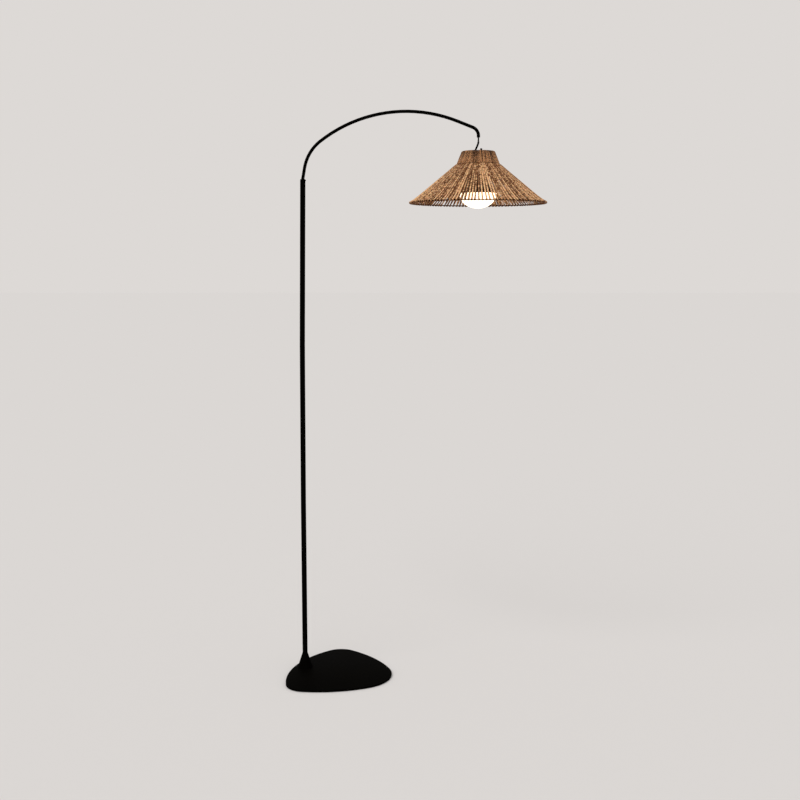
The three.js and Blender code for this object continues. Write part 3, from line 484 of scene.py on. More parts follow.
# Pole
# Three steel tubes of one length, screwed end to end over hollow joiners, each with its
# edge broken. The load of the arm leans the upper ones a little toward the shade.
POLE_BORE = 0.007
POLE_EDGE = 0.0003
for section in ("lower", "middle", "upper"):
    low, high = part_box("pole_" + section)
    foot_end = Vector((low.x + POLE_RADIUS, 0, low.z))
    top_end = Vector((high.x - POLE_RADIUS, 0, high.z))
    length = (top_end - foot_end).length
    tube_profile = [
        (POLE_BORE, 0),
        (POLE_RADIUS - POLE_EDGE, 0),
        (POLE_RADIUS, POLE_EDGE),
        (POLE_RADIUS, length - POLE_EDGE),
        (POLE_RADIUS - POLE_EDGE, length),
        (POLE_BORE, length),
    ]
    tube_skin = turned(tube_profile, foot_end, top_end - foot_end, joined=True)
    make_piece("pole_tube_" + section, [tube_skin], black_coat, "black_steel", "stand", "pole_" + section)
dress(black_coat, "pole_joiner_lower", "pole_joiner_upper")

# Cables in the metalwork
# A round two-core cable runs from the inlet up the pole and on through the arm, and the
# bare strain wire at its end is the link that hangs in the arm's mouth.
CABLE_COLOUR = (0.001, 0.0009, 0.0009, 1)
CABLE_SCUFF_COLOUR = (0.0035, 0.0031, 0.0028, 1)
CABLE_BRAIDS = 900
CABLE_BRAID_DEPTH = 0.0001
CABLE_ROUGHNESS = (0.5, 0.7)
CABLE_SHINE = 0.01
cable, start = new_finish("black_cable_sheath")
braid = noise(start, CABLE_BRAIDS, detail=2.0)
cable_relief = start.node("Bump", {}, {"Height": braid, "Strength": 0.4, "Distance": CABLE_BRAID_DEPTH})
surface(start, {
    "Base Color": braid.blend(CABLE_COLOUR, CABLE_SCUFF_COLOUR),
    "Roughness": braid.span(*CABLE_ROUGHNESS),
    "Specular IOR Level": CABLE_SHINE,
    "Normal": cable_relief,
})
dress(cable, "pole_lead", "arm_lead")

# Collar and its screw
# A turned reducing bush closes the pole's top and guides the thinner arm. A grub screw
# with a hexagon socket, on the shade's side, sets how hard the arm turns.
COLLAR_CHAMFER = 0.002
COLLAR_CREST = (0.3, 0.45)
COLLAR_HEAD = 0.009
ARM_RADIUS = 0.0052
ARM_PLAY = 0.0003


def joint_named(name):
    return next(joint for joint in frame["joints"] if joint["name"] == name)


swivel = joint_named("arm_swivel")
pole_top = Vector(swivel["pos_m"])
pole_axis = Vector(swivel["axis"]).normalized()
collar_profile = [
    (ARM_RADIUS + ARM_PLAY, -COLLAR_HEAD),
    (POLE_RADIUS - POLE_EDGE, -COLLAR_HEAD),
    (POLE_RADIUS, -COLLAR_HEAD + POLE_EDGE),
    (POLE_RADIUS, -COLLAR_CHAMFER),
    (POLE_RADIUS - COLLAR_CHAMFER * COLLAR_CREST[0], -COLLAR_CHAMFER * COLLAR_CREST[1]),
    (POLE_RADIUS - COLLAR_CHAMFER, 0),
    (ARM_RADIUS + ARM_PLAY, 0),
]
collar_skin = turned(collar_profile, pole_top, pole_axis, joined=True)
make_piece("collar_head", [collar_skin], black_coat, "black_steel", "stand", "pole_collar")

SCREW_EDGE = 0.0002
SOCKET_SIDES = 6
GRUB_SOCKET_DEPTH = 0.0012
GRUB_SOCKET_SHARE = 0.5


def socket_screw(origin, along, radius, length, socket_radius, socket_depth):
    """A skin of a round screw end with a hexagon socket sunk into it."""
    along = Vector(along).normalized()
    across = Vector((0, 1, 0)).cross(along).normalized()
    other = along.cross(across)
    side_turn = 2 * math.pi / SOCKET_SIDES
    levels = [
        (radius, 0, False),
        (radius, length - SCREW_EDGE, False),
        (radius - SCREW_EDGE, length, False),
        (socket_radius, length, True),
        (socket_radius, length - socket_depth, True),
    ]
    rings = []
    for size, height, is_hexagon in levels:
        ring = []
        for angle in whole_turn(FINE_SIDES):
            reach = size
            if is_hexagon:
                reach *= math.cos(side_turn / 2) / math.cos(angle % side_turn - side_turn / 2)
            outward = across * math.cos(angle) + other * math.sin(angle)
            ring.append(Vector(origin) + along * height + outward * reach)
        rings.append(ring)
    return loft(rings)


grub_low, grub_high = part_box("collar_screw")
grub_radius = (grub_high.y - grub_low.y) / 2
grub_place = Vector((grub_low.x, 0, (grub_low.z + grub_high.z) / 2))
grub_skin = socket_screw(
    grub_place, (1, 0, 0), grub_radius, grub_high.x - grub_low.x,
    grub_radius * GRUB_SOCKET_SHARE, GRUB_SOCKET_DEPTH,
)
make_piece("collar_grub", [grub_skin], black_coat, "black_steel", "stand", "collar_screw")

# Arm
# One thin steel tube, bent on a mandrel: a small kink over the collar, a tight shoulder,
# a long bow and a last bend that turns the open mouth straight down.
ARM_BORE = 0.0037
ARM_TAIL = 0.09
RISE = 0.0326
RUN_OUT = 0.0507
# The bends of the arm: radius, turn in degrees
KINK = (0.012, 9.2)
SHOULDER = (0.136, 42.6)
BOW = (0.449, 58.8)
TIP_RADIUS = 0.0284
BEND_STEP_DEG = 3
MOUTH_DROP = 0.0014
MOUTH_EDGE = 0.0003
TUBE_SIDES = 24


def tube(places, radius, bore=None):
    """A round skin along a line of places, open right through where it has a bore."""
    last = len(places) - 1
    across = (places[1] - places[0]).normalized().orthogonal()
    frames = []
    for i, place in enumerate(places):
        along = (places[min(i + 1, last)] - places[max(i - 1, 0)]).normalized()
        across = (across - along * across.dot(along)).normalized()
        frames.append((place, across, along.cross(across)))

    def ring(at, size):
        place, across, other = at
        return [
            place + (across * math.cos(angle) + other * math.sin(angle)) * size
            for angle in whole_turn(TUBE_SIDES)
        ]

    outer = [ring(at, radius) for at in frames]
    if bore is None:
        return loft(outer)
    inner = [ring(at, bore) for at in reversed(frames)]
    return loft(outer + inner, joined=True)


lean = math.atan2(pole_axis.x, pole_axis.z)
tip_deg = 180 - math.degrees(lean) - KINK[1] - SHOULDER[1] - BOW[1]
arm_place = pole_top - pole_axis * ARM_TAIL
arm_line = [arm_place.copy()]
legs = [(ARM_TAIL, 0), KINK, (RISE, 0), SHOULDER, BOW, (RUN_OUT, 0), (TIP_RADIUS, tip_deg)]
for size, turn_deg in legs:
    steps = math.ceil(turn_deg / BEND_STEP_DEG) if turn_deg else 1
    each = math.radians(turn_deg) / steps
    chord = 2 * size * math.sin(each / 2) if turn_deg else size
    for _ in range(steps):
        arm_place += Vector((math.sin(lean + each / 2), 0, math.cos(lean + each / 2))) * chord
        lean += each
        arm_line.append(arm_place.copy())
hang_place = Vector(joint_named("shade_swing")["pos_m"])
mouth_z = hang_place.z - MOUTH_DROP
for height in (mouth_z + MOUTH_EDGE, mouth_z):
    arm_line.append(Vector((arm_place.x, 0, height)))
arm_skin = tube(arm_line, ARM_RADIUS, ARM_BORE)
make_piece("bent_arm", [arm_skin], black_coat, "black_steel", "arm", "arm_tube")
dress(moulded, "arm_guide_bush")

# Link
# The bare strain wire at the cable's end, in a shrunk sleeve with a crimp ring at its foot.
# It hangs in the arm's mouth and lets the shade swing.
LINK_RADIUS = 0.0023
LINK_END_SHARE = 0.9
CRIMP_RADIUS = 0.0027
CRIMP_LOW = 0.0004
CRIMP_HIGH = 0.0022
SLEEVE_NARROW_SHARE = 0.95
SLEEVE_NARROW_AT = 0.0028
SLEEVE_FULL_AT = 0.0036
link_low, link_high = heights("hanging_link")
link_length = link_high - link_low
link_profile = [
    (0, 0),
    (LINK_RADIUS * LINK_END_SHARE, 0),
    (CRIMP_RADIUS, CRIMP_LOW),
    (CRIMP_RADIUS, CRIMP_HIGH),
    (LINK_RADIUS * SLEEVE_NARROW_SHARE, SLEEVE_NARROW_AT),
    (LINK_RADIUS, SLEEVE_FULL_AT),
]
for angle in quarter_turn(EDGE_STEPS):
    link_profile.append((LINK_RADIUS * math.cos(angle), link_length - LINK_RADIUS * (1 - math.sin(angle))))
link_skin = turned(link_profile, (hang_place.x, 0, link_low), sides=TUBE_SIDES)
make_piece("strain_link", [link_skin], cable, "black_cable", "link", "hanging_link")

# Hanging cord
# The sheathed cable bends over from the link to the grip, which stands beside the shade's
# axis, and goes through the grip into the lampholder. A ball rounds its top.
CORD_RADIUS = 0.003
# The cord's way from link to grip: share of the way across, share of the way down
CORD_SHARES = [
    (0, 0), (0.05, 0.13), (0.27, 0.33), (0.57, 0.54), (0.84, 0.72), (0.975, 0.865), (1, 1),
]
CORD_STEPS = 6
BALL_STEPS = 12
GRIP_LENGTH = 0.01


def rounded_route(points, steps):
    """Places on a smooth curve through points."""
    ends = [points[0] * 2 - points[1]] + points + [points[-1] * 2 - points[-2]]
    route = []
    for i in range(1, len(ends) - 2):
        before, first, second, after = ends[i - 1:i + 3]
        for k in range(steps):
            t = k / steps
            route.append(
                first
                + (second - before) * (t / 2)
                + (before * 2 - first * 5 + second * 4 - after) * (t * t / 2)
                + (first * 3 - before - second * 3 + after) * (t * t * t / 2)
            )
    return route + [points[-1]]


cord_top = Vector(joint_named("shade_sway")["pos_m"])
cord_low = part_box("hanging_cord")[0]
grip_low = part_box("cord_grip")[0].z
grip_x = cord_low.x + CORD_RADIUS
hub_top = grip_low + GRIP_LENGTH
cord_points = []
for across, down in CORD_SHARES:
    x = cord_top.x + (grip_x - cord_top.x) * across
    cord_points.append(Vector((x, 0, cord_top.z + (hub_top - cord_top.z) * down)))
cord_points.append(Vector((grip_x, 0, cord_low.z)))
cord_skin = tube(rounded_route(cord_points, CORD_STEPS), CORD_RADIUS)
ball_profile = []
for i in range(BALL_STEPS + 1):
    angle = math.pi * i / BALL_STEPS - math.pi / 2
    ball_profile.append((CORD_RADIUS * math.cos(angle), CORD_RADIUS * math.sin(angle)))
ball_skin = turned(ball_profile, cord_top, sides=TUBE_SIDES)
make_piece("shade_cord", [cord_skin, ball_skin], cable, "black_cable", "shade", "hanging_cord")

# Wire frame of the shade
# Four rings of round steel wire, butt-welded to three ribs, to short ties at the waist and
# to the ribs of the neck, and powder-coated black. The canes are wound over its rings.
WIRE_RADIUS = 0.00175
RING_STEPS = 96
WIRE_SIDES = 12
BEAD_REACH = 0.0022
BEAD_SWELL = 1.35
BEAD_END_SHARE = 0.8
RIB_COUNT = 3
RIB_FIRST_DEG = 15
shade_x = hang_place.x


def ring_of(node):
    """Radius and height of a ring wire's centre line."""
    low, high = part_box(node)
    return (high.x - low.x) / 2 - WIRE_RADIUS, (low.z + high.z) / 2


def around(radius, height, angle):
    """A place round the shade's axis."""
    return Vector((shade_x + radius * math.cos(angle), radius * math.sin(angle), height))


wire_rings = {name: ring_of(name) for name in ("bottom_ring", "skirt_ring", "neck_ring", "top_ring")}
for name, (radius, height) in wire_rings.items():
    hoops = []
    for angle in whole_turn(RING_STEPS):
        hoop = []
        for turn in whole_turn(WIRE_SIDES):
            reach = radius + WIRE_RADIUS * math.cos(turn)
            hoop.append(around(reach, height + WIRE_RADIUS * math.sin(turn), angle))
        hoops.append(hoop)
    hoop_skin = loft(hoops, joined=True)
    make_piece(name + "_wire", [hoop_skin], black_coat, "black_steel", "shade", name)


def welded_wire(near_end, far_end):
    """A skin of a straight wire with a weld bead at each end."""
    length = (far_end - near_end).length
    bead_radius = WIRE_RADIUS * BEAD_SWELL
    profile = [(0, 0), (bead_radius * BEAD_END_SHARE, 0), (bead_radius, BEAD_REACH / 2)]
    profile += [(WIRE_RADIUS, BEAD_REACH), (WIRE_RADIUS, length - BEAD_REACH)]
    profile += [(radius, length - height) for radius, height in profile[2::-1]]
    return turned(profile, near_end, far_end - near_end, sides=WIRE_SIDES)


rib_angles = [math.radians(RIB_FIRST_DEG) + angle for angle in whole_turn(RIB_COUNT)]
wires = [
    ("skirt_rib", "bottom_ring", "skirt_ring"),
    ("waist_tie", "skirt_ring", "neck_ring"),
    ("neck_rib", "neck_ring", "top_ring"),
]
for name, lower, upper in wires:
    for i, angle in enumerate(rib_angles):
        low_place = around(*wire_rings[lower], angle)
        high_place = around(*wire_rings[upper], angle)
        trim = (high_place - low_place).normalized() * WIRE_RADIUS
        skin = welded_wire(low_place + trim, high_place - trim)
        node = f"{name}_{i + 1}"
        make_piece(node + "_wire", [skin], black_coat, "black_steel", "shade", node)

# Hub
# A pressed steel disc with three arms welded between it and the shade's top ring. The
# cord grip and the cap screw clamp the lampholder's cap under it.
HUB_RADIUS = 0.0185
HUB_THICKNESS = 0.0025
HUB_EDGE = 0.0008
HUB_EDGE_CREST = 0.3
HUB_ARM_LIFT = 0.0003
hub_low = hub_top - HUB_THICKNESS
hub_profile = [
    (0, 0),
    (HUB_RADIUS - HUB_EDGE, 0),
    (HUB_RADIUS, HUB_EDGE),
    (HUB_RADIUS, HUB_THICKNESS - HUB_EDGE),
    (HUB_RADIUS - HUB_EDGE * HUB_EDGE_CREST, HUB_THICKNESS - HUB_EDGE * HUB_EDGE_CREST),
    (HUB_RADIUS - HUB_EDGE, HUB_THICKNESS),
    (0, HUB_THICKNESS),
]
hub_skins = [turned(hub_profile, (shade_x, 0, hub_low))]
for angle in rib_angles:
    inner_end = around(HUB_RADIUS - HUB_THICKNESS, hub_low + WIRE_RADIUS + HUB_ARM_LIFT, angle)
    outer_end = around(*wire_rings["top_ring"], angle)
    trim = (inner_end - outer_end).normalized() * WIRE_RADIUS
    hub_skins.append(welded_wire(inner_end, outer_end + trim))
make_piece("hub_plate", hub_skins, black_coat, "black_steel", "shade", "spider_hub")

# Cord grip and cap screw
# A moulded gland holds the cord in the hub, and beside it a tall-headed cap screw goes
# down into a nut in the lampholder's cap.
CORD_HOLE = 0.0033
GRIP_RADIUS = 0.0044
GRIP_FLANGE = 0.0056
GRIP_FLANGE_THICKNESS = 0.002
# The flange's rounded top, in shares of its thickness: how far in, how far up
GRIP_DOME = [(0, 0.5), (0.4, 0.85), (0.8, 1)]
grip_profile = [(CORD_HOLE, 0), (GRIP_RADIUS, 0), (GRIP_RADIUS, GRIP_LENGTH), (GRIP_FLANGE, GRIP_LENGTH)]
for inward, up in GRIP_DOME:
    dome_radius = GRIP_FLANGE - GRIP_FLANGE_THICKNESS * inward
    grip_profile.append((dome_radius, GRIP_LENGTH + GRIP_FLANGE_THICKNESS * up))
grip_profile.append((CORD_HOLE, GRIP_LENGTH + GRIP_FLANGE_THICKNESS))
grip_skin = turned(grip_profile, (grip_x, 0, grip_low), joined=True)
make_piece("cord_gland", [grip_skin], moulded, "dark_plastic", "shade", "cord_grip")

CAP_SCREW_RADIUS = 0.002
CAP_SCREW_HEAD_RADIUS = 0.0033
CAP_SOCKET_SHARE = 0.55
screw_low, screw_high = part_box("cap_screw")
screw_x = (screw_low.x + screw_high.x) / 2
shank_length = hub_top - screw_low.z
shank_profile = [(0, 0), (CAP_SCREW_RADIUS, 0), (CAP_SCREW_RADIUS, shank_length), (0, shank_length)]
shank_skin = turned(shank_profile, (screw_x, 0, screw_low.z))
head_skin = socket_screw(
    (screw_x, 0, hub_top), (0, 0, 1), CAP_SCREW_HEAD_RADIUS, screw_high.z - hub_top,
    CAP_SCREW_HEAD_RADIUS * CAP_SOCKET_SHARE, CAP_SCREW_HEAD_RADIUS,
)
make_piece("hub_cap_screw", [shank_skin, head_skin], black_coat, "black_steel", "shade", "cap_screw")
dress(zinc, "cap_nut")

# Lampholder
# A moulded cap and a threaded barrel below it, both matt black, with the pressed brass
# shell, the spring contact and their white insert inside.
HOLDER_RADIUS = 0.0195
HOLDER_WALL = 0.002
HOLDER_ROUND = 0.002
HOLDER_EDGE = HOLDER_WALL / 4
THREAD_PITCH = 0.0025
THREAD_DEPTH = 0.0006
THREADED_SHARE = 0.6
THREAD_FLANK = THREAD_PITCH * 0.3
THREAD_RUN_OUT = 0.4
cap_low, cap_high = heights("lampholder_cap")
cap_height = cap_high - cap_low
holder_bore = HOLDER_RADIUS - HOLDER_WALL
cap_profile = [
    (0, cap_height - HOLDER_WALL),
    (holder_bore, cap_height - HOLDER_WALL),
    (holder_bore, 0),
    (HOLDER_RADIUS - HOLDER_EDGE, 0),
    (HOLDER_RADIUS, HOLDER_EDGE),
]
for angle in quarter_turn(EDGE_STEPS):
    cap_profile.append((
        HOLDER_RADIUS - HOLDER_ROUND * (1 - math.cos(angle)),
        cap_height - HOLDER_ROUND * (1 - math.sin(angle)),
    ))
cap_profile.append((0, cap_height))
cap_skin = turned(cap_profile, (shade_x, 0, cap_low))
make_piece("holder_cap", [cap_skin], moulded, "dark_plastic", "shade", "lampholder_cap")

body_low, body_high = heights("lampholder_body")
body_height = body_high - body_low
thread_root = HOLDER_RADIUS - THREAD_DEPTH
body_profile = [(holder_bore, 0), (thread_root, 0)]
thread_turns = int(body_height * THREADED_SHARE / THREAD_PITCH)
for i in range(thread_turns):
    height = THREAD_PITCH * (i + 0.5)
    body_profile += [(thread_root, height - THREAD_FLANK), (HOLDER_RADIUS, height)]
    body_profile.append((thread_root, height + THREAD_FLANK))
body_profile += [
    (HOLDER_RADIUS, THREAD_PITCH * (thread_turns + THREAD_RUN_OUT)),
    (HOLDER_RADIUS, body_height - HOLDER_EDGE),
    (HOLDER_RADIUS - HOLDER_EDGE, body_height),
    (holder_bore, body_height),
]
body_skin = turned(body_profile, (shade_x, 0, body_low), joined=True)
make_piece("holder_barrel", [body_skin], moulded, "dark_plastic", "shade", "lampholder_body")

BRASS_COLOUR = (0.55, 0.4, 0.16, 1)
BRASS_TARNISH = (0.34, 0.22, 0.08, 1)
BRASS_CLOUDS = 120
BRASS_ROUGHNESS = (0.2, 0.45)
brass, start = new_finish("pressed_brass")
tarnish = noise(start, BRASS_CLOUDS, detail=4.0)
surface(start, {
    "Base Color": tarnish.blend(BRASS_COLOUR, BRASS_TARNISH),
    "Metallic": 1.0,
    "Roughness": tarnish.span(*BRASS_ROUGHNESS),
})
dress(brass, "screw_shell", "centre_contact")

WHITE_COLOUR = (0.78, 0.76, 0.72, 1)
WHITE_SHADE = (0.68, 0.65, 0.6, 1)
WHITE_CLOUDS = 30
WHITE_ROUGHNESS = (0.4, 0.5)
white_moulding, start = new_finish("white_moulding")
cloud = noise(start, WHITE_CLOUDS, detail=3.0)
surface(start, {
    "Base Color": cloud.blend(WHITE_COLOUR, WHITE_SHADE),
    "Roughness": cloud.span(*WHITE_ROUGHNESS),
})
dress(white_moulding, "lampholder_insert")

# Bulb
# A globe bulb. Its opal lower half glows warm white, and its upper half is an opaque dark
# housing that narrows to the screw cap and carries the board with the light source.
GLOW_COLOUR = (1.0, 0.8, 0.54, 1)
GLOW_EDGE_COLOUR = (1.0, 0.74, 0.46, 1)
GLOW_LEVEL = 3.0
OPAL_COLOUR = (0.8, 0.78, 0.74, 1)
OPAL_ROUGHNESS = 0.25
opal, start = new_finish("lit_opal")
cloud = noise(start, WHITE_CLOUDS, detail=1.0)
surface(start, {
    "Base Color": OPAL_COLOUR,
    "Roughness": OPAL_ROUGHNESS,
    "Emission Color": cloud.blend(GLOW_COLOUR, GLOW_EDGE_COLOUR),
    "Emission Strength": GLOW_LEVEL,
})

GLOBE_RADIUS = 0.059
GLOBE_DEPTH = 0.047
GLOBE_WALL = 0.0018
GLOBE_STEPS = 20
BULB_SIDES = 64
globe_high = heights("bulb_globe")[1]
inner_radius = GLOBE_RADIUS - GLOBE_WALL
inner_depth = GLOBE_DEPTH - GLOBE_WALL
globe_angles = quarter_turn(GLOBE_STEPS)
outer_wall = [(GLOBE_RADIUS * math.sin(angle), -GLOBE_DEPTH * math.cos(angle)) for angle in globe_angles]
inner_wall = [(inner_radius * math.sin(angle), -inner_depth * math.cos(angle)) for angle in globe_angles]
globe_skin = turned(outer_wall + inner_wall[::-1], (shade_x, 0, globe_high), sides=BULB_SIDES)
make_piece("opal_globe", [globe_skin], opal, "opal", "shade", "bulb_globe")

HOUSING_WALL = 0.0017
HOUSING_RIM = 0.0018
BULB_NECK_RADIUS = 0.0152
# The housing's wall, from its rim to its neck: share of its height, share of the way in
HOUSING_SHARES = [
    (0.12, 0.2), (0.24, 0.45), (0.36, 0.62), (0.48, 0.74), (0.61, 0.85), (0.74, 0.93), (0.87, 0.98), (1, 1),
]
housing_low, housing_high = heights("bulb_housing")
housing_height = housing_high - housing_low
housing_profile = [(GLOBE_RADIUS, 0), (GLOBE_RADIUS, HOUSING_RIM)]
for up, inward in HOUSING_SHARES:
    radius = GLOBE_RADIUS + (BULB_NECK_RADIUS - GLOBE_RADIUS) * inward
    housing_profile.append((radius, up * housing_height))
housing_profile += [(radius - HOUSING_WALL, height) for radius, height in housing_profile[::-1]]
housing_skin = turned(housing_profile, (shade_x, 0, housing_low), sides=BULB_SIDES, joined=True)
make_piece("bulb_shell", [housing_skin], moulded, "dark_plastic", "shade", "bulb_housing")
dress(white_moulding, "led_board")
dress(zinc, "bulb_cap")

# Windings of the shade
# Stained natural cane cord, one unbroken length for the skirt and one for the neck, laid side
# by side over two rings: up the outside, over the upper ring and back down the inside.
CANE_LIGHT_COLOUR = (0.8, 0.455, 0.222, 1)
CANE_DARK_COLOUR = (0.13, 0.042, 0.009, 1)
NECK_LIGHT_COLOUR = (0.5, 0.24, 0.103, 1)
NECK_DARK_COLOUR = (0.045, 0.016, 0.004, 1)
PLY_PITCH = 0.015
PLY_DEPTH = 0.0007
# Painted shade in the grooves between the plies: the crests are made lighter by this share.
PLY_GROOVE_SHADE = 0.2
FIBRES_AROUND = 4.5
FIBRE_STRETCH = 15
FIBRE_DEPTH = 0.00025
FIBRE_WEIGHT = 0.8
MOTTLES = 210
MOTTLE_WEIGHT = 1.5
STREAKS = 34
STREAK_SPREAD = 37
STREAK_WEIGHT = 3.2
TONE_WEIGHT = 0.85
TONE_BASE = -0.04
CANE_ROUGHNESS = (0.5, 0.75)
CANE_SHINE = 0.2
CANE_SUBSURFACE = {
    "Subsurface Weight": 0.2,
    "Subsurface Radius": (1.0, 0.45, 0.2),
    "Subsurface Scale": 0.002,
}


def cane_finish(name, dark, light):
    """Twisted cane fibre: two plies with long fine grain, mottled along and between turns."""
    finish, start = new_finish(name)
    run = start.node("UVMap", {"uv_map": "cane_run"})
    along = start.node("SeparateXYZ", {}, {0: run}, "X")
    round_it = start.node("SeparateXYZ", {}, {0: run}, "Y")
    turn = (round_it + along * (1 / PLY_PITCH)) * (2 * math.pi)
    place = start.node("CombineXYZ", {}, {
        0: start.maths("COSINE", turn),
        1: start.maths("SINE", turn),
        2: along * FIBRE_STRETCH,
    })
    fibre = start.node("TexNoise", {}, {"Vector": place, "Scale": FIBRES_AROUND, "Detail": 4.0})
    ply = start.maths("ABSOLUTE", start.maths("SINE", turn))
    mottle = noise(start, MOTTLES, detail=2.0)
    tone = start.node("Attribute", {"attribute_name": "cane_tone"}, {}, "Fac")
    stretch = start.node("CombineXYZ", {}, {0: along * STREAKS, 1: tone * STREAK_SPREAD})
    streak = start.node("TexNoise", {}, {"Vector": stretch, "Scale": 1.0, "Detail": 2.0})
    share = (fibre - 0.5) * FIBRE_WEIGHT + (mottle - 0.5) * MOTTLE_WEIGHT + (streak - 0.5) * STREAK_WEIGHT
    # The ply term paints shade into the grooves between the plies. The tone term carries each turn's own
    # tone together with the painted shade of the inner runs and of the bends under the lower ring.
    share = share + ply * PLY_GROOVE_SHADE + tone * TONE_WEIGHT + TONE_BASE
    lightness = start.node("Clamp", {}, {0: share})
    height = ply * PLY_DEPTH + fibre * FIBRE_DEPTH
    surface(start, CANE_SUBSURFACE | {
        "Base Color": lightness.blend(dark, light),
        "Roughness": fibre.span(*CANE_ROUGHNESS),
        "Specular IOR Level": CANE_SHINE,
        "Normal": start.node("Bump", {}, {"Height": height, "Strength": 1.0, "Distance": 1.0}),
    })
    return finish


LOOSE_PLACE_DEG = -87
LOOSE_REACH_DEG = 23
RIB_REACH_DEG = 6
SAG_SCALE = 3.5


def between(first, second, share):
    return first + (second - first) * share


def facing_out(lower, upper):
    """The angle above level that the outside of a winding over two rings faces."""
    (low_radius, low_z), (high_radius, high_z) = wire_rings[lower], wire_rings[upper]
    return math.pi / 2 - math.atan2(high_z - low_z, low_radius - high_radius)


def looseness(angle):
    """How loose the canes are at an angle round the shade, from 0 to 1 near its front."""
    away = math.remainder(angle - math.radians(LOOSE_PLACE_DEG), 2 * math.pi)
    return math.exp(-(away / math.radians(LOOSE_REACH_DEG)) ** 2)


def freedom(angle):
    """How free a cane is to sag at an angle round the shade, from 0 on a rib to 1."""
    from_rib = min(abs(math.remainder(angle - rib_angle, 2 * math.pi)) for rib_angle in rib_angles)
    return 1 - math.exp(-(from_rib / math.radians(RIB_REACH_DEG)) ** 2)


def sagging(t):
    """How far an outer run sags at a share of its way up: most, or 1, at a fifth of it."""
    return SAG_SCALE * t ** 0.5 * (1 - t) ** 2


RUN_STEPS = 14
BEND_STEPS = 5
HIGH_STRAY_SHARE = 0.25
BOW_RANGE = (-0.0002, 0.0004)
CROSS_START = 0.26
LOOSE_POWER = 2.0
# Outer runs are made lighter toward the lower ring and darker toward the upper one, and the bend over the
# upper ring darker still.
HEIGHT_TONE_SLOPE = 0.6
HEIGHT_TONE_MIDDLE = 0.45
# Inner runs are painted darker than the outer ones as painted shade, more so toward the upper ring.
INSIDE_LOW_SHADE = 0.49
INSIDE_HIGH_SHADE = 0.7


def wound_stops(lower, upper, turns, chance, stray, stain, sag=0, draw=0, low_bulge=0, high_bulge=0):
    """The way of one cane wound over two rings, as a list of stops. Each stop is a share of
    the way up, a turn round the wire, an angle round the shade, a swell off the wire and a
    tone. A cane strays along the ring, its outer run sags and its inner run is drawn in
    between the ribs, and its bends bulge. The tone is made lighter low on the outer run and
    darker high on it, and painted shade darkens the inner run and the bend under the lower ring.
    """
    low_radius, high_radius = wire_rings[lower][0], wire_rings[upper][0]
    outward = facing_out(lower, upper)
    inward = outward + math.pi
    low_angles, high_angles, tones = [], [], []
    for centre in whole_turn(turns):
        low_angles.append(-centre + chance.uniform(-stray, stray) / low_radius)
        high_angles.append(-centre + chance.uniform(-stray, stray) / high_radius * HIGH_STRAY_SHARE)
        tones.append(chance.uniform(0, 1))
    low_angles.append(low_angles[0] - 2 * math.pi)
    high_angles.append(high_angles[0] - 2 * math.pi)

    def outside(i, t):
        return between(low_angles[i], high_angles[i], t)

    def inside(i, t):
        loose = looseness(low_angles[i])
        step = between(CROSS_START * (1 - loose), 1, t ** (1 + LOOSE_POWER * loose))
        return between(outside(i + 1, t), outside(i, t), step)

    stops = []
    for i, tone in enumerate(tones):
        free = freedom(low_angles[i])
        bow_out, bow_in = chance.uniform(*BOW_RANGE), chance.uniform(*BOW_RANGE)
        for k in range(RUN_STEPS):
            t = k / RUN_STEPS
            swell = bow_out * math.sin(math.pi * t) - sag * free * sagging(t)
            stops.append((t, outward, outside(i, t), swell, tone + HEIGHT_TONE_SLOPE * (HEIGHT_TONE_MIDDLE - t)))
        for k in range(BEND_STEPS):
            t = k / BEND_STEPS
            swell = high_bulge * math.sin(math.pi * t)
            top_bend_tone = tone + HEIGHT_TONE_SLOPE * (HEIGHT_TONE_MIDDLE - 1)
            stops.append((1, outward + math.pi * t, high_angles[i], swell, top_bend_tone))
        for k in range(RUN_STEPS):
            t = 1 - k / RUN_STEPS
            swell = (bow_in - draw * free) * math.sin(math.pi * t)
            # Painted shade on the inner run.
            stained = tone - between(INSIDE_LOW_SHADE, INSIDE_HIGH_SHADE, t)
            stops.append((t, inward, inside(i, t), swell, stained))
        for k in range(BEND_STEPS):
            t = k / BEND_STEPS
            swell = low_bulge * math.sin(math.pi * t)
            angle = between(inside(i, 0), low_angles[i + 1], t)
            # Painted shade on the bend under the lower ring, darkest on its inner side.
            stops.append((0, inward + math.pi * t, angle, swell, tone - stain * (1 - t ** 2)))
    return stops


CANE_SIDES = 8
CROWDING = 0.94
THICKNESS_SPREAD = 0.05


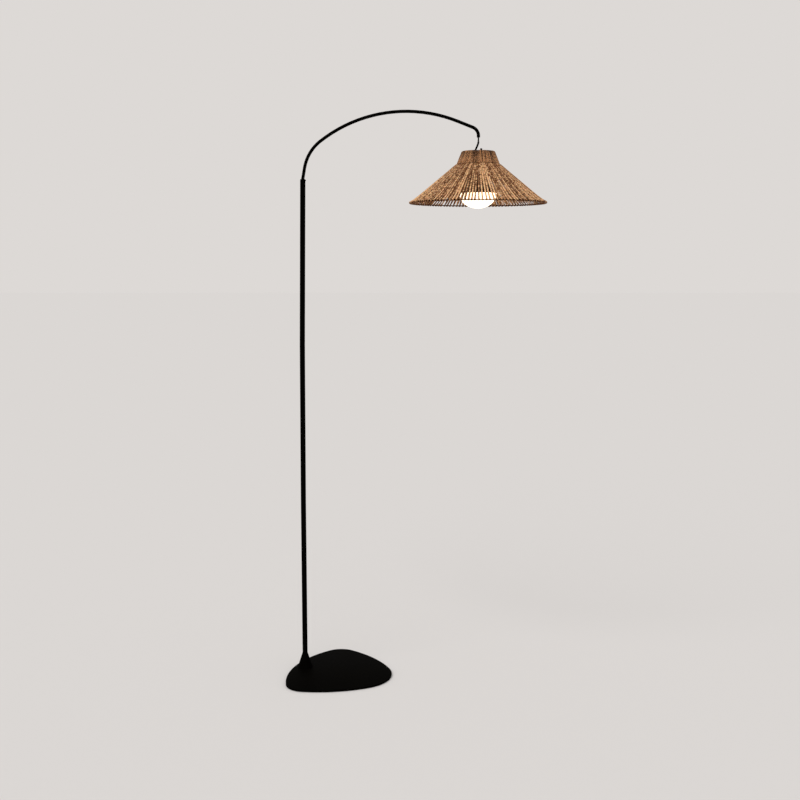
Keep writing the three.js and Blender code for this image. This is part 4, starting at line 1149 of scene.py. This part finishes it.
def wind(name, finish, slot, node, lower, upper, turns, seed, cane, widest, pressed=0, **way):
    """Winds one cane over two rings in so many turns and makes it a piece. Its section keeps
    the area of a circle with the radius cane. It is as wide as its neighbours leave room
    for, at most widest to each side, and under the lower ring pressed may be added to that.
    Its way is described by wound_stops.
    """
    chance = random.Random(seed)
    (low_radius, low_z), (high_radius, high_z) = wire_rings[lower], wire_rings[upper]
    inward = facing_out(lower, upper) + math.pi
    places, hoops, tones = [], [], []
    for share, turn, angle, swell, tone in wound_stops(lower, upper, turns, chance, **way):
        wire_radius = between(low_radius, high_radius, share)
        wire_z = between(low_z, high_z, share)
        reach = wire_radius + (WIRE_RADIUS + cane) * math.cos(turn)
        flatter = pressed * max(0, math.sin(turn - inward)) if share == 0 else 0
        half_width = min(widest + flatter, CROWDING * math.pi * reach / turns)
        half_height = cane * cane / half_width
        facing = Vector((math.cos(turn) * math.cos(angle), math.cos(turn) * math.sin(angle), math.sin(turn)))
        beside = Vector((-math.sin(angle), math.cos(angle), 0)) * half_width
        place = around(wire_radius, wire_z, angle) + facing * (WIRE_RADIUS + half_height + swell)
        thick = 1 + chance.uniform(-THICKNESS_SPREAD, THICKNESS_SPREAD)
        places.append(place)
        hoops.append([
            place + (beside * math.cos(side) + facing * half_height * math.sin(side)) * thick
            for side in whole_turn(CANE_SIDES)
        ])
        tones += [tone] * CANE_SIDES
    points, faces = loft(hoops, joined=True)
    mesh = bpy.data.meshes.new(name)
    mesh.from_pydata(points, [], faces)
    mesh.shade_smooth()
    mesh.attributes.new("cane_tone", "FLOAT", "POINT").data.foreach_set("value", tones)

    corners = []
    here = 0.0
    for i, place in enumerate(places):
        there = here + (places[(i + 1) % len(places)] - place).length
        for j in range(CANE_SIDES):
            near, far = j / CANE_SIDES, (j + 1) / CANE_SIDES
            corners += [here, near, here, far, there, far, there, near]
        here = there
    mesh.uv_layers.new(name="cane_run").data.foreach_set("uv", corners)
    add_piece(name, mesh, finish, slot, "shade", node)


SKIRT_SEED = 11
SKIRT_TURNS = 120
SKIRT_CANE_RADIUS = 0.00178
SKIRT_WIDEST = 0.0026
SKIRT_PRESSED = 0.001
SKIRT_STRAY = 0.0018
SKIRT_SAG = 0.003
SKIRT_DRAW = 0.0029
# Painted shade on the cane's bends under the bottom ring.
SKIRT_RIM_SHADE = 1.2
SKIRT_HIGH_BULGE = 0.0008
skirt_finish = cane_finish("stained_cane", CANE_DARK_COLOUR, CANE_LIGHT_COLOUR)
wind(
    "skirt_cane", skirt_finish, "cane", "skirt_winding", "bottom_ring", "skirt_ring", SKIRT_TURNS,
    seed=SKIRT_SEED, cane=SKIRT_CANE_RADIUS, widest=SKIRT_WIDEST, pressed=SKIRT_PRESSED,
    stray=SKIRT_STRAY, stain=SKIRT_RIM_SHADE, sag=SKIRT_SAG, draw=SKIRT_DRAW,
    high_bulge=SKIRT_HIGH_BULGE,
)
NECK_SEED = 23
NECK_TURNS = 96
NECK_CANE_RADIUS = 0.00158
NECK_WIDEST = 0.002
NECK_STRAY = 0.0004
# Painted shade on the cane's bends under the neck ring, where the neck meets the skirt.
NECK_RIM_SHADE = 0.2
NECK_LOW_BULGE = 0.0009
NECK_HIGH_BULGE = 0.0007
neck_finish = cane_finish("dark_stained_cane", NECK_DARK_COLOUR, NECK_LIGHT_COLOUR)
wind(
    "neck_cane", neck_finish, "dark_cane", "neck_winding", "neck_ring", "top_ring", NECK_TURNS,
    seed=NECK_SEED, cane=NECK_CANE_RADIUS, widest=NECK_WIDEST, stray=NECK_STRAY, stain=NECK_RIM_SHADE,
    low_bulge=NECK_LOW_BULGE, high_bulge=NECK_HIGH_BULGE,
)
